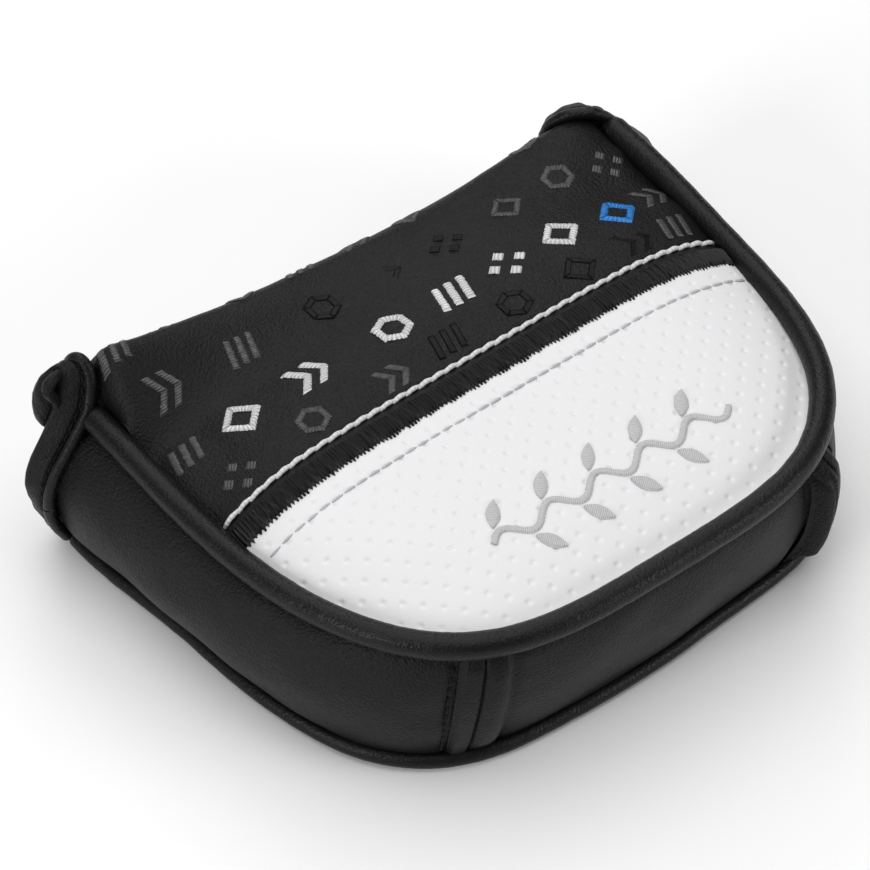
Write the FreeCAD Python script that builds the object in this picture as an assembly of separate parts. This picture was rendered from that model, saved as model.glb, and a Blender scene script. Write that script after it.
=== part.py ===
import FreeCAD, Part
import math
import os

# Driving dimensions, mm. Heel is -X, toe is +X, the rounded nose is -Y, the flap is +Y, up is +Z.
PIPING_HEIGHT = 36.0      # ground to the centre of the top piping
MOUTH_SHIFT = 45.1        # mouth plane of the walls, measured from the middle of the whole depth
HALF_WIDTH = 65.0         # centre of the top piping, heel and toe
NOSE_DEPTH = 97.0         # mouth plane to the top piping at the nose
OUTLINE_POWER = 3.5       # squareness of the rounded nose corners
PIPING_R = 2.7
PIPING_CORD_R = 1.7
SOLE_PIPING_R = 1.8
LEATHER = 1.2
FOAM = 3.0
LINING = 1.1
GAP = 0.12
CROWN = 6.6               # top of the padded panel above the piping centre
CROWN_DROP = 10.9
CROWN_POWER = 5.7
WALL_TOP = -2.95
WALL_BOTTOM = -32.2
SOLE_Z = -33.0            # outer face of the sole
MOUTH_Y = 3.3             # free edge of the side walls
FLAP_Y = 9.0              # outer face of the flap
ROLL_START = 4.0
HINGE_Z = -6.5
GROUND = -36.0
SEAM_Y = -38.7            # joint between the two top panels
BAND_Y = -44.0
FLAP_BOTTOM = -33.6
TONGUE_HALF = 21.0
TONGUE_LENGTH = 31.0
TONGUE_T = 2.6
HEEL_RISE = 13.0          # the mouth corners of the top panel stand up, the heel one more
TOE_RISE = 7.5
HEEL_LEAN = 4.0           # the rear roll climbs towards the heel
TOE_DIP = 1.2
ROLL_LIFT = 0.8           # and stands a little higher on its heel half
EDGE_LIFT = 2.2           # the rear panel's side edges are held up by the piping
FLOURISH_X0 = -26.0
FLOURISH_X1 = 32.0
FLOURISH_Y = -75.5
LEAF_PITCH = 5.8
LEAF_LENGTH = 6.2
JOINT_SLIT = 0.02         # share of its run by which the rear panel stops short of the joint
HEM_T = 1.0


def vec(x, y, z):
    return FreeCAD.Vector(x, y, z)


def smooth(t, low, high):
    s = min(1.0, max(0.0, (t - low) / (high - low)))
    return s * s * (3.0 - 2.0 * s)


def outline_table(count):
    rows = []
    for i in range(count + 1):
        a = math.pi * i / count
        c = abs(math.cos(a)) ** (2.0 / OUTLINE_POWER)
        s = abs(math.sin(a)) ** (2.0 / OUTLINE_POWER)
        rows.append((-math.copysign(HALF_WIDTH * c, math.cos(a)), -NOSE_DEPTH * s))
    total = [0.0]
    for p, q in zip(rows, rows[1:]):
        total.append(total[-1] + math.hypot(q[0] - p[0], q[1] - p[1]))
    return rows, total


ROWS, LENGTHS = outline_table(3000)
HALF_LENGTH = LENGTHS[-1] / 2.0


def outline(s):
    """Point of the plan outline s mm from the heel mouth; straight behind either mouth end."""
    if s <= 0.0:
        return -HALF_WIDTH, -s
    if s >= LENGTHS[-1]:
        return HALF_WIDTH, s - LENGTHS[-1]
    low, high = 0, len(LENGTHS) - 1
    while high - low > 1:
        mid = (low + high) // 2
        if LENGTHS[mid] <= s:
            low = mid
        else:
            high = mid
    k = (s - LENGTHS[low]) / (LENGTHS[high] - LENGTHS[low])
    p, q = ROWS[low], ROWS[high]
    return p[0] + k * (q[0] - p[0]), p[1] + k * (q[1] - p[1])


def plan(s, out):
    """Outline point moved out mm along its outward normal."""
    a, b = outline(s - 0.8), outline(s + 0.8)
    d = math.hypot(b[0] - a[0], b[1] - a[1])
    x, y = outline(s)
    return x + out * (b[1] - a[1]) / d, y - out * (b[0] - a[0]) / d


def share(s):
    """0 at a mouth end, 1 at the middle of the nose."""
    return min(1.0, max(0.0, min(s, 2.0 * HALF_LENGTH - s) / HALF_LENGTH))


def sole_offset(s):
    f = share(s)
    return -4.1 + 6.0 * (1.0 - smooth(f, 0.5, 0.86)) + 3.0 * (1.0 - smooth(f, 0.0, 0.25))


def piping_sag(s):
    """The top piping, and the wall under it, hang a little between corner and mouth."""
    return 1.6 * math.sin(math.pi * min(1.0, share(s) / 0.62)) ** 2


def wall_offset(s, z):
    """How far the side wall stands out from the plan outline at height z."""
    h = min(1.0, max(0.0, (WALL_TOP - z) / (WALL_TOP - WALL_BOTTOM)))
    bulge = 2.6 + 4.8 * (1.0 - smooth(share(s), 0.1, 0.78))
    return 0.2 + (sole_offset(s) - 0.2) * h + bulge * math.sin(math.pi * h ** 0.9) ** 0.85


def radius_share(x, y):
    n = OUTLINE_POWER
    return (abs(x / HALF_WIDTH) ** n + abs(min(y, 0.0) / NOSE_DEPTH) ** n) ** (1.0 / n)


def top_z(x, y):
    """Outer face of the padded top."""
    yy = min(y, ROLL_START)
    rear = smooth(yy, -16.0, ROLL_START)
    rho = radius_share(x, yy)
    z = CROWN - 7.5 * smooth(yy, -34.0, 12.0)
    z -= CROWN_DROP * (1.0 - 0.6 * rear) * rho ** CROWN_POWER
    held = smooth(abs(x) / HALF_WIDTH, 0.78, 0.97)
    z += EDGE_LIFT * held * smooth(-yy, 1.0, 12.0) * (1.0 - smooth(-yy, 22.0, 36.0))
    if x < 0.0:
        lean = HEEL_LEAN * (1.0 - (1.0 - min(1.0, -x / HALF_WIDTH)) ** 2)
        rise = HEEL_RISE
    else:
        lean = -TOE_DIP * math.sin(math.pi * min(x, 50.0) / 50.0)
        rise = TOE_RISE
    lean += ROLL_LIFT * (1.0 - smooth(x, 0.0, 30.0))
    return z + rear * (lean + rise * abs(x / HALF_WIDTH) ** 3)


def top_profile(x, t):
    """Middle run of the top, t below 1 on the flat and from 1 to 2 round the rear roll."""
    if t <= 1.0:
        y = SEAM_Y + (ROLL_START - SEAM_Y) * t
        return y, top_z(x, y)
    a = 0.5 * math.pi * (t - 1.0)
    z0 = top_z(x, ROLL_START)
    return (ROLL_START + (FLAP_Y - ROLL_START) * math.sin(a),
            z0 + (HINGE_Z + 0.15 - z0) * (1.0 - math.cos(a)))


def moved_grid(grid, depth):
    """The same grid moved depth mm along its own normals."""
    rows, cols = len(grid), len(grid[0])
    out = []
    for i in range(rows):
        line = []
        for j in range(cols):
            du = grid[min(i + 1, rows - 1)][j] - grid[max(i - 1, 0)][j]
            dv = grid[i][min(j + 1, cols - 1)] - grid[i][max(j - 1, 0)]
            n = du.cross(dv)
            n.normalize()
            line.append(grid[i][j] + n * depth)
        out.append(line)
    return out


def skin(a, b):
    """Closed solid between two point grids."""
    surfaces = []
    for grid in (a, b):
        s = Part.BSplineSurface()
        s.interpolate(grid)
        surfaces.append(s)
    faces = [s.toShape() for s in surfaces]
    u0, u1, v0, v1 = surfaces[0].bounds()
    w0, w1, x0, x1 = surfaces[1].bounds()
    pairs = [(surfaces[0].uIso(u0), surfaces[1].uIso(w0)), (surfaces[0].uIso(u1), surfaces[1].uIso(w1)),
             (surfaces[0].vIso(v0), surfaces[1].vIso(x0)), (surfaces[0].vIso(v1), surfaces[1].vIso(x1))]
    for p, q in pairs:
        faces.append(Part.makeRuledSurface(p.toShape(), q.toShape(), 1))
    shell = Part.makeShell(faces)
    shell.sewShape()
    solid = Part.makeSolid(shell)
    if solid.Volume < 0.0:
        solid.reverse()
    return solid


def lattice(f, us, vs):
    return [[f(u, v) for v in vs] for u in us]


def steps(a, b, count):
    return [a + (b - a) * i / count for i in range(count + 1)]


def plate(f, us, vs, top, bottom):
    """Solid from a surface function, between two depths along its normals."""
    grid = lattice(f, us, vs)
    return skin(moved_grid(grid, top), moved_grid(grid, bottom))


def spline(points):
    c = Part.BSplineCurve()
    c.interpolate(points)
    return c


def round_loft(curve, r, stations, start, end, side):
    """Round bar through rings set square to a curve, between two shares of its length."""
    total = curve.length()
    rings = []
    for k in steps(start, end, stations):
        at = curve.parameterAtDistance(total * min(1.0, max(0.0, k)), curve.FirstParameter)
        d = curve.tangent(at)[0]
        c = curve.value(at) + d * (total * (k - min(1.0, max(0.0, k))))
        e = d.cross(side)
        e.normalize()
        f = e.cross(d)
        ring = Part.BSplineCurve()
        ring.interpolate([c + (e * math.cos(w) + f * math.sin(w)) * r
                          for w in [math.pi * i / 4.0 for i in range(8)]], PeriodicFlag=True)
        rings.append(Part.Wire([ring.toShape()]))
    return Part.makeLoft(rings, True, False)


def rod(points, r, inner=0.0, stations=None, upright=False):
    """Round cord, or tube, along a smooth curve."""
    side = vec(0, 1, 0) if upright else vec(0, 0, 1)
    curve = spline(points)
    count = stations or len(points) - 1
    solid = round_loft(curve, r, count, 0.0, 1.0, side)
    if inner > 0.0:
        solid = solid.cut(round_loft(curve, inner, count, -0.004, 1.004, side))
    return solid


def stitches(points, pitch, length, r):
    """Separate short threads laid along a smooth curve."""
    curve = spline(points)
    total = curve.length()
    count = int(total / pitch)
    out = []
    for i in range(count):
        mid = (i + 0.5) * total / count
        a = curve.value(curve.parameterAtDistance(mid - length / 2, curve.FirstParameter))
        b = curve.value(curve.parameterAtDistance(mid + length / 2, curve.FirstParameter))
        out.append(Part.makeCylinder(r, (b - a).Length, a, b - a))
    return out


def plan_face(inset, rear_y, base=lambda s: 0.0):
    """Flat face inside the plan outline, cut square at rear_y."""
    pts = []
    count = 72
    for i in range(count + 1):
        s = -12.0 + (2.0 * HALF_LENGTH + 24.0) * i / count
        x, y = plan(s, base(s) - inset)
        pts.append(vec(x, y, 0))
    edge = spline(pts).toShape()
    close = Part.makeLine(pts[-1], pts[0])
    face = Part.Face(Part.Wire([edge, close]))
    box = Part.makeBox(300, rear_y + 150.0, 1, vec(-150, -150, -0.5))
    return face.common(box).Faces[0]


def prism(face, z0, z1):
    f = face.copy()
    f.translate(vec(0, 0, z0))
    return f.extrude(vec(0, 0, z1 - z0))


def slant(x, y):
    """Upright distance through the top for each mm square to it."""
    gx = (top_z(x + 0.5, y) - top_z(x - 0.5, y))
    gy = (top_z(x, y + 0.5) - top_z(x, y - 0.5))
    return math.sqrt(1.0 + gx * gx + gy * gy)


def top_layer(inset, top, bottom, rear_y):
    """A layer of the padded top, following its crown."""
    xs = steps(-68.0, 68.0, 34)
    ys = steps(-102.0, rear_y + 1.0, 26)
    upper = lattice(lambda x, y: vec(x, y, top_z(x, y) + top * slant(x, y)), xs, ys)
    lower = lattice(lambda x, y: vec(x, y, top_z(x, y) + bottom * slant(x, y)), xs, ys)
    return skin(upper, lower).common(prism(plan_face(inset, rear_y), -30, 40)).Solids[0]


def wall(s0, s1, top, bottom, z0=WALL_TOP, z1=WALL_BOTTOM, lift=None):
    """Side wall strip between two outline stations, at two depths behind its outer face."""
    def f(s, z):
        x, y = plan(s, wall_offset(s, z) + (lift(s, z) if lift else 0.0))
        return vec(x, y, z - piping_sag(s) * (z - WALL_BOTTOM) / (WALL_TOP - WALL_BOTTOM))
    n = max(4, int((s1 - s0) / 4.0))
    return plate(f, steps(s0, s1, n), steps(z1, z0, 11), top, bottom)


def moved(shape):
    s = shape.copy()
    s.translate(vec(0, MOUTH_SHIFT, PIPING_HEIGHT))
    return s


NODES = {}


def node(name, *shapes):
    solids = [moved(t) for shape in shapes for t in shape.Solids]
    NODES[name] = solids[0] if len(solids) == 1 else Part.makeCompound(solids)


# Padded top: two outer panels, foam and lining
def rear_top(x_share, t):
    y = top_profile(0.0, t)[0]
    edge = HALF_WIDTH * (1.0 - abs(min(y, 0.0) / NOSE_DEPTH) ** OUTLINE_POWER) ** (1.0 / OUTLINE_POWER)
    x = x_share * (edge - PIPING_R - 0.25 - 1.7 * smooth(y, -9.0, 2.0))
    py, pz = top_profile(x, t)
    return vec(x, py, pz)


FLAT_STEPS = steps(JOINT_SLIT, 1.0, 12) + steps(1.0, 2.0, 7)[1:]
node("top_panel", plate(rear_top, steps(-1.0, 1.0, 30), FLAT_STEPS, 0.0, -LEATHER))
node("perforated_panel", top_layer(PIPING_R + 0.25, 0.0, -LEATHER, SEAM_Y))
INNER = PIPING_R + 2.6
node("top_foam", top_layer(INNER, -LEATHER - 3.3 * GAP, -LEATHER - GAP - FOAM, 0.5))
DEEP = LEATHER + FOAM + 2 * GAP
node("top_lining", top_layer(INNER + 0.3, -DEEP, -DEEP - LINING, 1.0))


# Rolled rear edge: a soft bolster fills the roll above the hinge
node("roll_bolster", rod([vec(x, 4.7, top_z(x, ROLL_START) - 5.0) for x in steps(-42.0, 44.0, 20)], 1.6))

# Piping round the top
TOP_PATH = []
for s in steps(3.2, 2 * HALF_LENGTH - 3.2, 64):
    px, py = plan(s, 0.0)
    TOP_PATH.append(vec(px, py, -piping_sag(s)))
node("top_piping_cover", rod(TOP_PATH, PIPING_R, PIPING_CORD_R + 0.08, stations=36))
node("top_piping_cord", rod(TOP_PATH, PIPING_CORD_R, stations=36))

# Side walls in three panels with a folded pleat at each nose corner
PLEAT = 0.70 * HALF_LENGTH
PLEAT_HALF = 5.2
S_END = 2 * HALF_LENGTH
node("heel_side_panel", wall(-MOUTH_Y, PLEAT - PLEAT_HALF, 0.0, -LEATHER))
node("nose_side_panel", wall(PLEAT + PLEAT_HALF, S_END - PLEAT - PLEAT_HALF, 0.0, -LEATHER))
node("toe_side_panel", wall(S_END - PLEAT + PLEAT_HALF, S_END + MOUTH_Y, 0.0, -LEATHER))


def pleat(centre):
    def lift(s, z):
        return 1.5 * math.cos(0.5 * math.pi * (s - centre) / PLEAT_HALF) * smooth(WALL_TOP - z, -0.5, 5.0)
    a, b = centre - PLEAT_HALF + 0.15, centre + PLEAT_HALF - 0.15
    return wall(a, b, 0.0, -LEATHER, lift=lift)


node("heel_pleat", pleat(PLEAT))
node("toe_pleat", pleat(S_END - PLEAT))
CORNER_PAD = [wall(c - 4.6, c + 4.6, -LEATHER - GAP, -LEATHER - GAP - FOAM, -5.5, -31.0)
              for c in (PLEAT, S_END - PLEAT)]


def seam_on_wall(s, stand, r):
    pts = []
    for z in steps(-5.0, -30.5, 12):
        x, y = plan(s, wall_offset(s, z) + stand)
        pts.append(vec(x, y, z))
    return stitches(pts, 3.0, 2.2, r)


node("pleat_stitches", *seam_on_wall(PLEAT - PLEAT_HALF - 1.2, 0.35, 0.28),
     *seam_on_wall(S_END - PLEAT + PLEAT_HALF + 1.2, 0.35, 0.28))
W0, W1 = -LEATHER - GAP, -LEATHER - GAP - FOAM
node("side_foam", wall(-1.2, PLEAT - 5.4, W0, W1, -5.6, -30.6), *CORNER_PAD,
     wall(PLEAT + 5.4, S_END - PLEAT - 5.4, W0, W1, -5.6, -30.6),
     wall(S_END - PLEAT + 5.4, S_END + 1.2, W0, W1, -5.6, -30.6))
node("side_lining", wall(-1.2, S_END + 1.2, -DEEP, -DEEP - LINING, -6.8, -30.6))

# Sole
node("sole_panel", prism(plan_face(SOLE_PIPING_R + 0.25, MOUTH_Y - 0.2, base=sole_offset), SOLE_Z,
                         SOLE_Z + LEATHER))
node("sole_foam", prism(plan_face(7.0, MOUTH_Y - 1.0, base=sole_offset), SOLE_Z + LEATHER + GAP,
                        SOLE_Z + LEATHER + GAP + 2.2))
node("sole_lining", prism(plan_face(7.2, MOUTH_Y - 1.0, base=sole_offset), SOLE_Z + LEATHER + 2.2 + 2 * GAP,
                          SOLE_Z + LEATHER + 2.2 + 2 * GAP + LINING))
SOLE_PATH = []
for s in steps(-1.8, S_END + 1.8, 64):
    px, py = plan(s, sole_offset(s))
    SOLE_PATH.append(vec(px, py, GROUND + SOLE_PIPING_R))
node("sole_piping", rod(SOLE_PATH, SOLE_PIPING_R, stations=36))


# Mouth hems: a folded band and a raised fold up each wall and over the corner of the top
def side_sign(side):
    return -1.0 if side == "heel" else 1.0


# Centre line of the fold over each corner of the top, then the free edge of the band, heel side as +X
FOLD_TOP = {
    "heel": ((67.9, 0.6, -1.2), (65.9, 1.0, 1.3), (64.4, 1.8, 3.9), (63.4, 2.8, 6.8), (63.0, 4.2, 9.2),
             (63.3, 5.9, 10.4), (64.0, 7.6, 9.6), (64.5, 9.0, 6.8), (64.8, 9.5, 3.0)),
    "toe": ((68.0, 0.7, -2.3), (65.9, 1.2, 0.3), (63.9, 1.8, 2.6), (61.8, 2.5, 4.2), (59.8, 3.9, 4.2),
            (57.8, 5.4, 3.8), (56.0, 7.2, 2.6), (54.7, 9.0, 0.4), (53.8, 10.3, -2.9))}
BAND_EDGE = {
    "heel": ((73.4, 5.0, -29.5), (76.6, 5.0, -20.9), (77.3, 5.0, -12.4), (73.6, 5.0, -4.8),
             (70.0, 5.0, 2.0), (67.9, 5.6, 7.4), (67.0, 8.0, 8.8), (67.4, 10.0, 2.0)),
    "toe": ((73.5, 5.0, -29.5), (76.0, 5.0, -20.9), (75.4, 5.1, -12.6), (71.0, 5.9, -7.2),
            (66.4, 6.5, -0.9), (61.9, 7.2, 2.2), (58.7, 9.5, 0.4), (57.0, 11.2, -4.2))}
FOLD_R = 1.15


def fold_line(side):
    k = side_sign(side)
    pts = []
    for z in steps(-29.5, -5.5, 5):
        slope = wall_offset(0.0, z + 0.5) - wall_offset(0.0, z - 0.5)
        pts.append(vec(k * (HALF_WIDTH + wall_offset(0.0, z) + 1.5 * math.sqrt(1.0 + slope * slope)), 0.6, z))
    return pts + [vec(k * x, y, z) for x, y, z in FOLD_TOP[side]]


def hem_band(side):
    k = side_sign(side)
    inner = spline(fold_line(side))
    outer = spline([vec(k * x, y, z) for x, y, z in BAND_EDGE[side]])
    rows = []
    for i in steps(0.01, 0.84, 16):
        a = inner.value(inner.parameterAtDistance(i * inner.length(), inner.FirstParameter))
        b = outer.value(outer.parameterAtDistance(i * outer.length(), outer.FirstParameter))
        start = (FOLD_R + 1.3) / (b - a).Length
        rows.append([a + (b - a) * t for t in steps(max(0.36, start), 1.0, 4)])
    return skin(moved_grid(rows, HEM_T / 2), moved_grid(rows, -HEM_T / 2))


def hem_fold(side):
    return rod(fold_line(side), FOLD_R, stations=24, upright=True)


for side in ("heel", "toe"):
    node(side + "_mouth_band", hem_band(side))
    node(side + "_mouth_fold", hem_fold(side))

# Closing flap behind the mouth
def flap_half(z):
    return HALF_WIDTH + wall_offset(0.0, z) - 1.4 - 2.0 * smooth(z, -16.0, HINGE_Z)


def flap_layer(y0, y1, inset, z0, z1):
    grids = []
    for y in (y0, y1):
        grids.append([[vec(k * (flap_half(z) - inset), y, z) for k in steps(-1.0, 1.0, 20)]
                      for z in steps(z0, z1, 10)])
    return skin(grids[1], grids[0])


TOP_CUT = 0.15
node("flap_panel", flap_layer(FLAP_Y - LEATHER, FLAP_Y, 0.0, GROUND + 1.35, HINGE_Z - TOP_CUT))
node("flap_foam", flap_layer(FLAP_Y - 1.32 - 2.4, FLAP_Y - 1.32, 3.0, FLAP_BOTTOM + 2.4, HINGE_Z - 2.4))
node("flap_lining", flap_layer(4.05, 5.15, 2.4, FLAP_BOTTOM + 2.2, HINGE_Z - 2.4))
EDGE = steps(GROUND + 2.2, HINGE_Z - 1.2, 10)
for side in ("heel", "toe"):
    k = side_sign(side)
    line = [vec(k * (flap_half(z) + 1.75), FLAP_Y - 1.9, z) for z in EDGE]
    node("flap_" + side + "_binding", rod(line, 1.3, upright=True))
node("flap_topstitch", *[t for k in (-1, 1) for t in stitches(
    [vec(k * (flap_half(z) - 3.0), FLAP_Y + 0.28, z) for z in EDGE], 3.0, 2.2, 0.25)])


# Closing tongue under the sole
def tongue(z0, z1, inset, near):
    half = TONGUE_HALF - inset
    end = FLAP_Y - TONGUE_LENGTH + inset
    r = 9.0 - inset
    a, b, c = vec(-half, near, z0), vec(-half, end + r, z0), vec(-half + r, end, z0)
    d, e, f = vec(half - r, end, z0), vec(half, end + r, z0), vec(half, near, z0)
    q = r * (1.0 - math.sqrt(0.5))
    wire = Part.Wire([Part.makeLine(a, b), Part.Arc(b, vec(-half + q, end + q, z0), c).toShape(),
                      Part.makeLine(c, d), Part.Arc(d, vec(half - q, end + q, z0), e).toShape(),
                      Part.makeLine(e, f), Part.makeLine(f, a)])
    return Part.Face(wire).extrude(vec(0, 0, z1 - z0))


MAGNETS = [Part.makeCylinder(4.0, 0.9, vec(k * 9.0, -12.0, GROUND + 0.85)) for k in (-1, 1)]
KEEPERS = [Part.makeCylinder(4.0, 0.6, vec(k * 9.0, -12.0, SOLE_Z + LEATHER + 0.08)) for k in (-1, 1)]
node("tongue_panel", tongue(GROUND + 0.02, GROUND + 0.8, 0.0, FLAP_Y - 1.0))
node("tongue_core", tongue(GROUND + 0.85, GROUND + 1.75, 2.0, FLAP_Y - 3.0).cut(
    Part.makeCompound([Part.makeCylinder(4.05, 0.9, vec(k * 9.0, -12.0, GROUND + 0.85)) for k in (-1, 1)])))
node("tongue_magnets", *MAGNETS)
node("tongue_lining", tongue(GROUND + 1.8, GROUND + TONGUE_T, 0.6, FLAP_Y - 3.4))
node("sole_keepers", *KEEPERS)
NODES["sole_foam"] = NODES["sole_foam"].cut(
    Part.makeCompound([moved(Part.makeCylinder(4.1, 0.75, vec(k * 9.0, -12.0, SOLE_Z + LEATHER)))
                       for k in (-1, 1)]))


# Needlework on the top
def patch(corners, top, bottom):
    """Thread patch over four plan corners, following the crown."""
    def f(u, v):
        p = [corners[0][i] * (1 - u) * (1 - v) + corners[1][i] * u * (1 - v) + corners[2][i] * u * v
             + corners[3][i] * (1 - u) * v for i in (0, 1)]
        return p
    grids = []
    for lift in (top, bottom):
        grids.append([[vec(f(u, v)[0], f(u, v)[1], top_z(*f(u, v)) + lift) for v in steps(0, 1, 2)]
                      for u in steps(0, 1, 3)])
    return skin(grids[0], grids[1])


def bar(x0, y0, x1, y1, w):
    d = math.hypot(x1 - x0, y1 - y0)
    nx, ny = -(y1 - y0) / d * w / 2, (x1 - x0) / d * w / 2
    return [(x0 - nx, y0 - ny), (x1 - nx, y1 - ny), (x1 + nx, y1 + ny), (x0 + nx, y0 + ny)]


def ring(sides, r, w, turn):
    quads = []
    for i in range(sides):
        a, b = [2 * math.pi * (i + j + turn) / sides for j in (0.006, 0.994)]
        quads.append([(r * math.cos(a), r * math.sin(a)), (r * math.cos(b), r * math.sin(b)),
                      ((r - w) * math.cos(b), (r - w) * math.sin(b)),
                      ((r - w) * math.cos(a), (r - w) * math.sin(a))])
    return quads


def chevrons(w):
    quads = []
    for x in (-3.4, 0.6):
        for k in (-1, 1):
            quads.append([(x, k * 3.7), (x + w * 1.3, k * 3.7), (x + 2.8 + w * 1.3, k * 0.04),
                          (x + 2.8, k * 0.04)])
    return quads


def slats(w):
    return [bar(x - 1.1, -3.6, x + 1.1, 3.6, w) for x in (-3.0, 0.0, 3.0)]


def cluster(w):
    quads = []
    for x, y in ((-3.2, 0.0), (3.2, 0.0), (0.0, 2.9), (0.0, -2.9)):
        quads.append([(x - w, y), (x, y - w), (x + w, y), (x, y + w)])
    return quads


SHAPES = [ring(4, 4.6, 1.9, 0.0), chevrons(1.5), ring(6, 4.3, 1.7, 0.5), slats(1.6), cluster(1.5)]


def motif(kind, x, y, size, height):
    return [patch([(x + size * px, y + size * py) for px, py in quad], height, 0.06)
            for quad in SHAPES[kind % len(SHAPES)]]


WHITE_X = (-44.6, -28.9, -7.7, 7.3, 20.9, 34.4)
node("white_motifs", *[s for i, x in enumerate(WHITE_X) for s in motif(i, x, -20.6, 1.0, 0.6)])
node("blue_motif", *(motif(0, 48.0, -22.0, 1.0, 0.6)))
GREY_AT = ((-53.0, -6.5, 1), (-34.0, -6.5, 3), (32.7, -5.5, 0), (46.0, -5.5, 2), (-35.0, -31.0, 2),
           (-53.0, -31.5, 4), (55.5, -31.0, 3), (-17.0, -32.0, 1))
node("grey_motifs", *[s for x, y, kind in GREY_AT for s in motif(kind, x, y, 0.85, 0.3)])


def ribbon(rows):
    """Satin-stitched ribbon from rows of (left x, left y, right x, right y)."""
    grids = []
    for lift in (0.55, 0.06):
        grids.append([[vec(x0 + (x1 - x0) * k, y0 + (y1 - y0) * k,
                           top_z(x0 + (x1 - x0) * k, y0 + (y1 - y0) * k) + lift) for k in (0.0, 0.5, 1.0)]
                      for x0, y0, x1, y1 in rows])
    return skin(grids[0], grids[1])


def wave_y(x):
    return FLOURISH_Y + 1.7 * math.sin(2.0 * math.pi * (x - FLOURISH_X0) / LEAF_PITCH / 2.0)


def leaf(x0, side):
    """Pointed leaf leaning towards the toe, clear of the stem."""
    dx, dy = 0.62, 0.785 * side
    rows = []
    for u in steps(0.0, 1.0, 8):
        w = 0.12 + 1.25 * math.sin(math.pi * u) ** 0.8
        cx, cy = x0 + dx * LEAF_LENGTH * u, wave_y(x0) + 1.35 * side + dy * LEAF_LENGTH * u
        rows.append((cx - w * dy, cy + w * dx, cx + w * dy, cy - w * dx))
    return ribbon(rows)


def flourish():
    stem = [(x, wave_y(x) - 0.7, x, wave_y(x) + 0.7) for x in steps(FLOURISH_X0, FLOURISH_X1, 64)]
    leaves = []
    for i in range(int((FLOURISH_X1 - FLOURISH_X0 - 3.0) / LEAF_PITCH)):
        leaves.append(leaf(FLOURISH_X0 + 2.0 + LEAF_PITCH * i, 1.0 if i % 2 == 0 else -1.0))
    return [ribbon(stem)] + leaves


node("panel_flourish", *flourish())


# Joint between the two top panels
def across(y, stand, r, inset, pitch, length):
    edge = HALF_WIDTH * (1.0 - abs(y / NOSE_DEPTH) ** OUTLINE_POWER) ** (1.0 / OUTLINE_POWER) - inset
    return stitches([vec(x, y, top_z(x, y) + stand) for x in steps(-edge, edge, 40)], pitch, length, r)


def satin_band():
    grids = []
    for lift in (0.6, 0.08):
        rows = []
        for k in steps(-1.0, 1.0, 40):
            line = []
            for y in steps(BAND_Y, SEAM_Y - 0.4, 4):
                e = HALF_WIDTH * (1.0 - abs(y / NOSE_DEPTH) ** OUTLINE_POWER) ** (1.0 / OUTLINE_POWER) - 3.3
                line.append(vec(k * e, y, top_z(k * e, y) + lift))
            rows.append(line)
        grids.append(rows)
    return skin(grids[0], grids[1])


node("satin_band", satin_band())
node("seam_topstitch", *across(-37.1, 0.58, 0.45, 3.6, 3.1, 3.0))
node("panel_topstitch", *across(-48.6, 0.4, 0.25, 4.2, 2.9, 2.0))

os.makedirs("parts", exist_ok=True)
for name, shape in NODES.items():
    if not shape.isValid() or shape.Volume <= 0.0:
        print("CHECK", name, shape.isValid(), shape.Volume)
    shape.exportStep("parts/" + name + ".step")
print(len(NODES), "nodes")
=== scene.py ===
import math
import bpy
import numpy as np
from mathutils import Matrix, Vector


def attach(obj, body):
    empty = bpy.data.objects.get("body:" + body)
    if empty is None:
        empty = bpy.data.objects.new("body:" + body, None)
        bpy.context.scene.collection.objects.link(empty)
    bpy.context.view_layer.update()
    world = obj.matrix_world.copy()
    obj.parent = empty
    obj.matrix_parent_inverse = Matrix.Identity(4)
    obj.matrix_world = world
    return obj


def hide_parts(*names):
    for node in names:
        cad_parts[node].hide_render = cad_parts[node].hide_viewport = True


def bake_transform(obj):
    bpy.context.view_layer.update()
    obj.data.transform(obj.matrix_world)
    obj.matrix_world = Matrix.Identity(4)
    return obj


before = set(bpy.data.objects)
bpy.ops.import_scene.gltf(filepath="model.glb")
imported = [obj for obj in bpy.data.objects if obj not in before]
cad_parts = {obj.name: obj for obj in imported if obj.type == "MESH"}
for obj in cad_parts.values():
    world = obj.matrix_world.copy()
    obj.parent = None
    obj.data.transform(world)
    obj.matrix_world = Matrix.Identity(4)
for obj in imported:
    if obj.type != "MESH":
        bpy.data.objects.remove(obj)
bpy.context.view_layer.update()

# Driving dimensions of the sewn shell, mm, the same as the frame's. Heel -X, toe +X, nose -Y, flap +Y.
# Heights are from the piping's centre plane and y is from the mouth.
HEIGHT, SHIFT = 36.0, 45.1                        # from there to the frame's origin: up and back
HALF, DEPTH, POWER = 65.0, 97.0, 3.5              # the piping's plan: half width, depth, squareness
CROWN, CROWN_DROP, CROWN_POWER = 6.6, 10.9, 5.7   # the padded top's height and its fall to the edge
EDGE_LIFT, ROLL_LIFT = 2.2, 0.8
WALL_TOP, WALL_BOTTOM = -2.95, -32.2
MOUTH_Y, ROLL_Y, ROLL_ARC = 3.3, 4.0, 11.0        # mouth, start of the rear roll, leather round it
FLAP_Y, HINGE_Z, GROUND = 9.0, -6.5, -36.0
SEAM_Y, JOINT_Y, BAND_Y = -38.7, -41.4, -44.0     # satin-stitched band: rear edge, middle, front edge
TOPSTITCH_Y, DASH_Y = -37.1, -48.9                # the two stitch lines beside it
HEEL_RISE, TOE_RISE = 13.0, 7.5                   # how far the rear roll rises at its ends
PIPING_R, SOLE_PIPING_R, LEATHER = 2.7, 1.76, 1.1


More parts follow.
